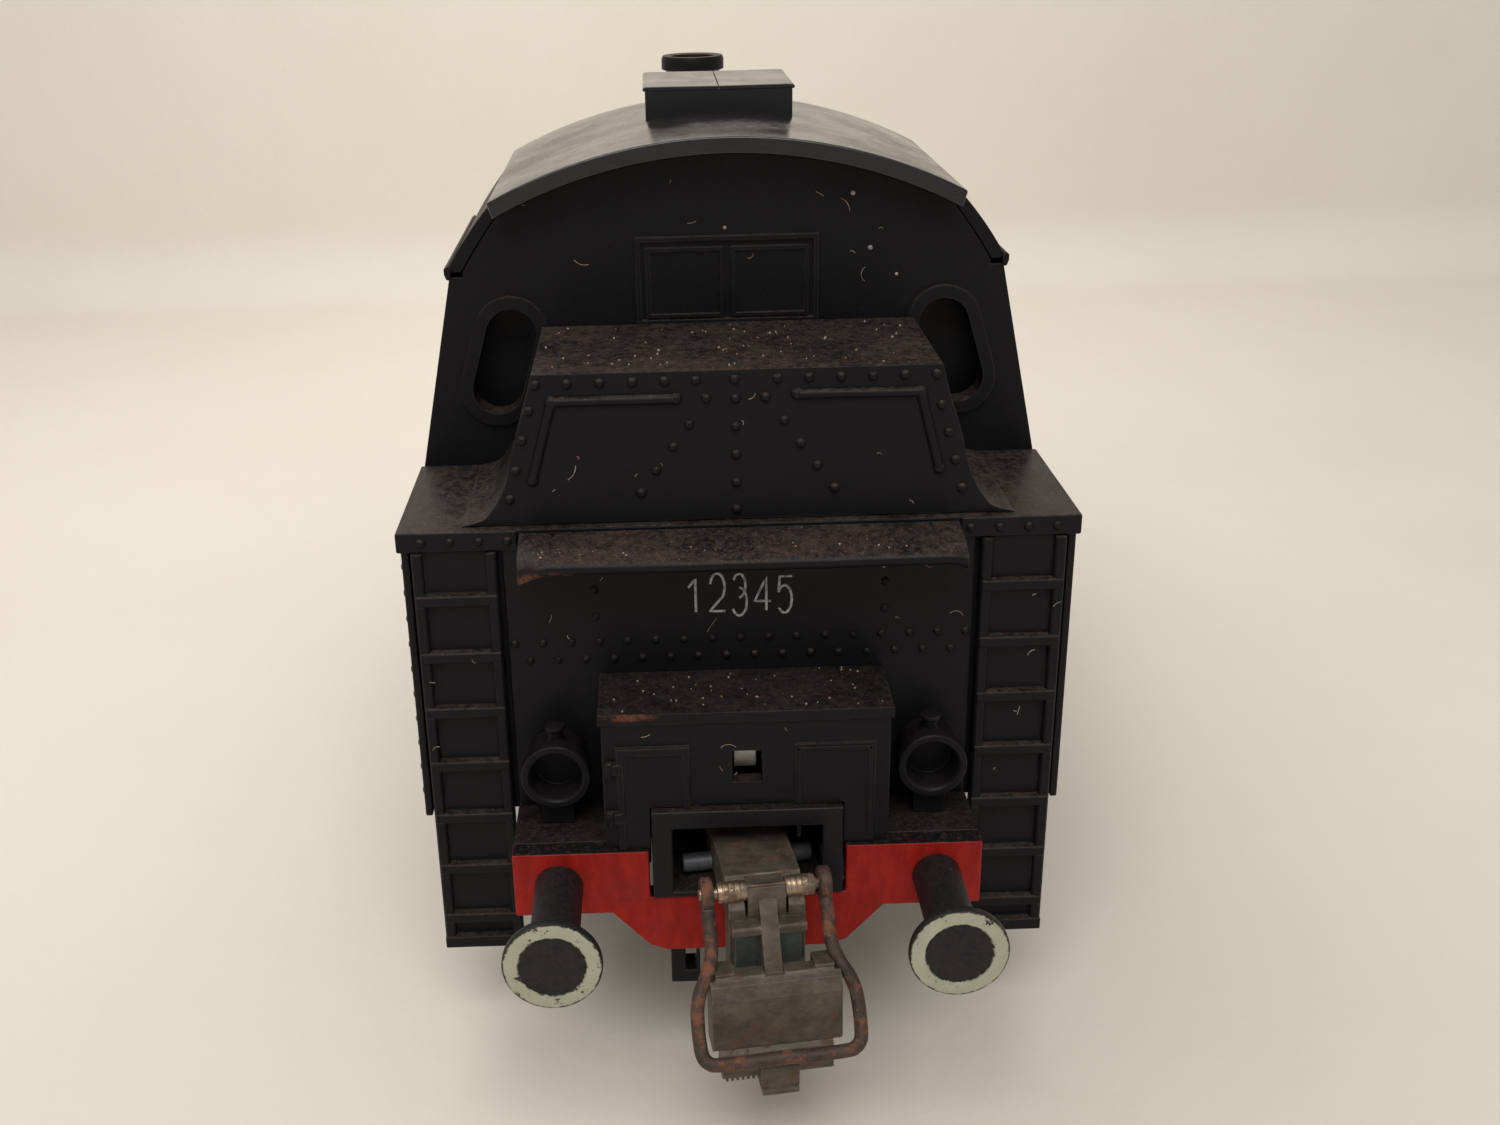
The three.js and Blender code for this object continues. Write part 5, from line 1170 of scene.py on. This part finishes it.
def coupling_head(end_name, end, metal, recess_metal, barrel_metal, bar_metal):
    """Cast coupling: shank, forked posts round a rib, hook block, lower plate, tongue and pocket bar."""
    form = Form()
    shank = [(-5.02, 12.75), (-5.05, 14.55), (-4.86, 14.8), (-0.6, 14.8), (0.9, 14.62), (1.08, 14.4),
             (1.08, 12.75)]
    form.prism(shank, "x", (-1.98, 1.98))
    form.prism([(-6.2, 12.9), (-6.28, 14.2), (-6.05, 14.72), (-4.9, 14.75), (-4.9, 12.9)], "x", (-0.98, 0.98))
    form.prism([(-5.2, 14.1), (-6.32, 14.14), (-6.55, 13.8), (-8.1, 10.85), (-8.12, 9.4), (-5.2, 9.4)], "x",
               (-0.46, 0.46))
    for side in (-1, 1):
        outer = [(-5.02, 9.4), (-6.15, 9.4), (-6.25, 9.7), (-6.25, 13.6), (-5.9, 14.05), (-5.02, 14.1)]
        form.prism(outer, "x", (side * 1.12, side * 1.98))
        form.prism([(-5.3, 13.0), (-6.95, 12.98), (-7.02, 12.86), (-6.98, 12.5), (-5.3, 12.35)], "x",
                   (side * 0.42, side * 1.93))
        form.prism([(-5.3, 10.35), (-7.7, 10.28), (-7.8, 9.4), (-5.3, 9.4)], "x", (side * 0.42, side * 1.95))
        form.prism([(-7.4, 10.6), (-8.15, 10.7), (-8.42, 11.0), (-8.3, 11.12), (-7.5, 11.05)], "x",
                   (side * 0.5, side * 3.0))
        form.box((side * 2.05, side * 3.05), (-8.3, -7.1), (8.2, 11.3))
    block = [(-7.5, 10.8), (-8.35, 11.02), (-8.72, 10.86), (-9.02, 10.12), (-8.97, 10.06), (-9.10, 7.5),
             (-8.98, 7.22), (-7.5, 7.2)]
    form.prism(block, "x", (-3.34, 3.34))
    form.prism([(-7.9, 5.5), (-9.05, 5.5), (-9.18, 5.62), (-9.16, 7.0), (-8.9, 7.25), (-7.9, 7.25)], "x",
               (-2.88, 2.88))
    for i in range(7):
        x = -2.72 + 0.27 * i
        form.box((x, x + 0.15), (-9.19, -8.8), (5.42, 5.75))
    form.box((1.1, 2.88), (-9.15, -8.3), (5.75, 6.05))
    form.prism([(-8.2, 5.05), (-9.55, 5.05), (-9.66, 5.16), (-9.66, 6.3), (-9.5, 6.45), (-8.2, 6.5)], "x",
               (-1.0, 1.0))
    form.prism([(-8.3, 4.72), (-9.72, 4.72), (-9.79, 4.8), (-9.79, 5.05), (-9.6, 5.14), (-8.3, 5.14)], "x",
               (-0.92, 0.97))
    form.finish_index = 1
    for side in (-1, 1):
        form.box((side * 0.40, side * 1.72), (-6.52, -5.3), (9.5, 12.6))
    form.finish_index = 2
    for side in (-1, 1):
        ends = sorted_pair(side * 0.98, side * 2.52)
        grooves = [ends[0] + (ends[1] - ends[0]) * k / 5 for k in range(6)]
        profile = [(0, ends[0]), (0.50, ends[0] + 0.01)]
        for groove in grooves[1:-1]:
            profile += [(0.55, groove - 0.07), (0.515, groove), (0.55, groove + 0.07)]
        profile += [(0.50, ends[1] - 0.01), (0, ends[1])]
        form.lathe(profile, "x", TRUNNION, 28)
    form.lathe([(0, -3.44), (0.28, -3.44), (0.31, -3.38), (0.31, 3.38), (0.28, 3.44), (0, 3.44)], "x",
               TRUNNION, 20)
    form.finish_index = 3
    form.lathe([(0, -3.52), (0.44, -3.52), (0.5, -3.42), (0.5, 3.42), (0.44, 3.52), (0, 3.52)], "x",
               (-0.4, 12.95), 28)
    form.mesh.transform(coupling_frame(end))
    form.piece(f"{end_name}_coupling_casting", metal, [f"{end_name}_coupling_head"], 0.06, 32,
               body=f"{end_name}_coupling", slot="coupling_metal",
               more_finishes=[recess_metal, barrel_metal, bar_metal])


def coupling_loop(end_name, end, wire):
    """Bent wire: each end turns in over its journal, the legs spread round the hook block."""
    leg = [(-3.02, 0.07), (-3.05, 0.16), (-3.03, 0.28), (-3.12, 0.38), (-3.42, 0.48), (-3.82, 0.57),
           (-4.04, 0.66), (-4.10, 0.76), (-4.09, 0.87), (-4.0, 0.945), (-3.72, 0.985), (-3.3, 1.0)]
    middle = [(-1.6, 1.004), (0.1, 1.0), (1.7, 1.004)]
    drop = [low - high for low, high in zip(LOOP_BAR, TRUNNION)]
    path = curve_through([(x, TRUNNION[0] + drop[0] * share, TRUNNION[1] + drop[1] * share)
                          for x, share in leg + middle + [(-x, share) for x, share in leg[::-1]]], 7)
    form = Form()
    form.tube(path, 0.35, 18)
    for side in (-1, 1):
        rings = [(0.38, side * 2.72), (0.78, side * 2.74), (0.86, side * 2.84), (0.86, side * 3.2),
                 (0.78, side * 3.32), (0.38, side * 3.34)]
        form.hoop(rings, "x", TRUNNION, 28)
    form.mesh.transform(coupling_frame(end))
    form.piece(f"{end_name}_coupling_wire", wire, [f"{end_name}_coupling_loop"], sharp=50,
               body=f"{end_name}_loop", slot="rusty_wire")


# ------------------------------------------------------------------ dust that lies on the model

def fibres(finish):
    """Short bent fibres on the upright walls of the bunker end."""
    rng = random.Random(20)
    form = Form()
    walls = [
        (BODY_REAR - 0.02, (-12, 12), (24.8, 30.2), 9), (BODY_REAR - 4.90, (-7, 7), (17.5, 21.8), 6),
        (EXTENSION_REAR - 0.02, (-9.5, 9.5), (31.8, 38), 9), (CAB_REAR - 0.02, (-11, 12), (41, 47), 10),
        (BODY_REAR - 0.46, (12.8, 16.9), (15, 27.4), 6), (BODY_REAR - 0.46, (-16.9, -12.8), (12, 27), 3),
    ]
    for y, xs, zs, count in walls:
        for _ in range(count):
            spot = Vector((rng.uniform(*xs), y, rng.uniform(*zs)))
            heading = rng.uniform(0, 2 * math.pi)
            bend = rng.uniform(-1.2, 1.2)
            length = rng.choice((0.2, 0.3, 0.5, 0.9))
            path = []
            for i in range(7):
                path.append(spot.copy())
                spot = spot + Vector((math.cos(heading), 0, math.sin(heading))) * (length / 6)
                heading += bend / 3
            form.tube(path, rng.uniform(0.012, 0.024), 5)
    form.piece("dust_fibres", finish, sharp=80)


def crumbs(finish):
    """Crumbs on the bunker, the sloping ledge and the toolbox, and a few larger ones on the walls."""
    rng = random.Random(33)
    form = Form()
    shelves = ((60, (-10, 10), (-42, -33.2), 39.06, 0.055, 0.0),
               (50, (-11, 11), (-46.0, -43.5), 30.86, 0.05, 0.115),
               (40, (-7.2, 7.2), (-47.8, -43.4), 22.68, 0.05, 0.0))
    spots = [(rng.uniform(*xs), rng.uniform(*ys), z, size, slope)
             for count, xs, ys, z, size, slope in shelves for _ in range(count)]
    for x, y, z, size, slope in spots:
        scale = size * rng.uniform(0.5, 1.25)
        lean = (rng.uniform(-0.3, 0.3), rng.uniform(-0.3, 0.3), 1)
        form.rivet((x, y, z - slope * (BODY_REAR - y)), lean, scale, scale * 1.1, 6)
    for x, y, z, size in ((6.9, CAB_REAR, 45.9, 0.15), (7.9, CAB_REAR, 42.9, 0.15),
                          (-0.1, CAB_REAR, 44.2, 0.12), (9.4, CAB_REAR, 41.4, 0.11),
                          (7.55, BODY_REAR, 28.4, 0.13)):
        form.rivet((x, y, z), (0, -1, 0), size, size, 6)
    form.piece("dust_crumbs", finish, sharp=80)


# ------------------------------------------------------------------ floor and lights

def make_floor(paper):
    """One sheet of paper that turns up behind the model."""
    width, near, bend, radius, top = 900.0, -420.0, 141.0, 12.0, 620.0
    profile = [(near + (bend - near) * i / 24, 0.0) for i in range(25)]
    profile += [(bend + radius * math.sin(math.radians(a)), radius - radius * math.cos(math.radians(a)))
                for a in range(8, 88, 8)]
    profile += [(bend + radius + 8.0 * i, radius + (top - radius) * i / 8) for i in range(9)]
    form = Form()
    columns = 24
    rows = [[(-width / 2 + width * i / columns, y, z) for y, z in profile] for i in range(columns + 1)]
    form.faces_from(rows, closed_ring=False, caps=False)
    floor = form.placed("paper_floor", paper)


def area_light(name, place, target, size, power, colour):
    data = bpy.data.lights.new(name, "AREA")
    data.shape = "RECTANGLE"
    data.size, data.size_y = size[0] * MM, size[1] * MM
    data.energy = power
    data.color = colour
    light = bpy.data.objects.new(name, data)
    bpy.context.scene.collection.objects.link(light)
    light.location = Vector(place) * MM
    light.rotation_mode = "QUATERNION"
    light.rotation_quaternion = (Vector(target) - Vector(place)).to_track_quat("-Z", "Y")


def make_lights():
    """A large soft light above the camera, a weak one over the paper behind the model, and an even sky."""
    area_light("front_softbox", (-15, -255, 330), (0, -10, 10), (260, 200), 0.80, (1.0, 0.985, 0.965))
    area_light("back_softbox", (-20, 95, 150), (0, 80, 0), (300, 80), 0.17, (1.0, 0.985, 0.96))
    world = bpy.data.worlds.new("studio")
    world.use_nodes = True
    background = world.node_tree.nodes["Background"]
    background.inputs["Color"].default_value = (0.95, 0.93, 0.91, 1)
    background.inputs["Strength"].default_value = 0.49
    bpy.context.scene.world = world
    bpy.context.scene.view_settings.view_transform = "Standard"


# ------------------------------------------------------------------ the whole model

make_camera()
make_floor(backdrop_paper())
make_lights()

plastic = black_plastic("black_plastic_body")
low_plastic = black_plastic("black_plastic_low", dust=0.5, stains=[((-5.9, -48.3, 22.5), (1.9, 0.4, 0.35))])
lamp_plastic = black_plastic("black_plastic_lamps", dust=0.15, wear_and_highlight=0.8)
rust_stains = [((-9.7, -46.6, 29.3), (2.9, 0.8, 0.8)), ((-11.2, -45.9, 29.0), (0.8, 1.2, 1.0))]
# the strong edge setting paints a highlight line along the ledge's front lip, besides the wear and rust stains
ledge_plastic = black_plastic("black_plastic_ledge", wear_and_highlight=1.5, stains=rust_stains)
roof_plastic = black_plastic("black_plastic_roof", dust=0.22, gloss=0.15, wear_and_highlight=0.8, level=0.5)
red = red_paint()
pocket_black = black_plastic("black_pocket_metal", dust=0.5, gloss=0.30, wear_and_highlight=1.4, level=0.17)
frame_black = black_plastic("black_frame_metal", dust=0.8, gloss=0.45)
rail_black = worn_metal("rail_metal", (0.012, 0.012, 0.013), (0.03, 0.028, 0.027), (0.10, 0.05, 0.025), 0.16,
                        metallic=0.6)
steel = worn_metal("bright_steel", (0.30, 0.295, 0.28), (0.50, 0.49, 0.47), (0.16, 0.09, 0.05), 0.12,
                   (0.25, 0.5), 0.95)
brass = worn_metal("clock_brass", (0.42, 0.27, 0.08), (0.62, 0.44, 0.16), (0.20, 0.11, 0.04), 0.14,
                   (0.25, 0.45), 0.95)
blued = worn_metal("blued_spring", (0.03, 0.04, 0.07), (0.08, 0.10, 0.15), (0.12, 0.07, 0.04), 0.12,
                   (0.22, 0.4), 0.95)
casting = worn_metal("coupling_casting", (0.044, 0.034, 0.025), (0.118, 0.095, 0.070), (0.11, 0.050, 0.026),
                     0.17, (0.42, 0.66), 0.25, 0.36)
grey_bar = worn_metal("pocket_bar_steel", (0.045, 0.048, 0.054), (0.11, 0.115, 0.125), (0.05, 0.04, 0.035),
                      0.1, (0.35, 0.6), 0.3, 0.5)
recess = worn_metal("coupling_recess", (0.055, 0.065, 0.058), (0.105, 0.125, 0.115), (0.10, 0.05, 0.03), 0.12,
                    (0.42, 0.62), 0.5, 0.3)
copper = worn_metal("worn_trunnion", (0.16, 0.12, 0.09), (0.42, 0.30, 0.20), (0.10, 0.05, 0.03), 0.20,
                    (0.25, 0.48), 0.85, 0.6)
wire = worn_metal("rusty_wire_metal", (0.022, 0.016, 0.014), (0.078, 0.048, 0.035), (0.175, 0.062, 0.026),
                  0.235, (0.45, 0.78), 0.30, 0.28)
wheel_red = worn_metal("wheel_centre_red", (0.16, 0.010, 0.009), (0.26, 0.016, 0.012), (0.05, 0.02, 0.015),
                       0.18, (0.38, 0.6), 0.0, 0.15)
lens = worn_metal("lamp_lens", (0.30, 0.29, 0.25), (0.45, 0.44, 0.38), (0.2, 0.18, 0.14), 0.12, (0.12, 0.25),
                  0.3, 0.1)
lint = worn_metal("lint", (0.22, 0.15, 0.10), (0.42, 0.38, 0.32), (0.30, 0.13, 0.06), 0.25, (0.8, 0.95), 0.0,
                  0.0)

for name, bevel in (("bunker_shell", 0.12), ("side_tank_left", 0.13), ("side_tank_right", 0.13),
                    ("front_footplate", 0.09)):
    round_cad_node(name, plastic, bevel)
for name in ("rear_toolbox", "rear_footplate"):
    round_cad_node(name, low_plastic, 0.08)
round_cad_node("cab_shell", plastic, 0.025, split_faces=True)
for name in ("rear_coupling_pocket", "front_coupling_pocket"):
    round_cad_node(name, pocket_black, 0.09)
for name in ("frame_plate_left", "frame_plate_right", "rear_spacer", "front_spacer"):
    round_cad_node(name, frame_black, 0.06)
for name in ("rear_beam", "front_beam"):
    round_cad_node(name, red, 0.10)
for name in ("rear_axle", "middle_axle", "front_axle", "winding_arbor", "click", "brake_rod"):
    round_cad_node(name, steel, 0.04)
for name in ("spring_barrel", "second_wheel", "third_wheel", "governor"):
    round_cad_node(name, brass, 0.03)
round_cad_node("mainspring", blued, 0.0)

bunker_extension(plastic)
extension_details(plastic)
rear_wall_rivets(plastic)
side_wall_rivets(plastic)
ledge(ledge_plastic)
ladders(plastic)
toolbox_details(low_plastic)
running_number(number_paint())
cab_roof(roof_plastic, plastic)
roof_gutters(plastic)
# dark sheets behind the cab's oval windows stand in for the shade inside the cab
cab_window_shade_sheets(low_plastic)
ventilator(roof_plastic)
cab_details(plastic, rail_black)
boiler(plastic)
boiler_pipes(plastic, rail_black)
smokebox(plastic)
smokebox_door(plastic, rail_black)
chimney_and_domes(plastic)
tank_details(plastic, rail_black)
lamps(lamp_plastic, lens)
buffers()
cylinders(plastic)
wheels(wheel_red, steel)
coupling_rods(steel)
for end_name, end in ENDS:
    coupling_head(end_name, end, casting, recess, copper, grey_bar)
    coupling_loop(end_name, end, wire)
fibres(lint)
crumbs(lint)
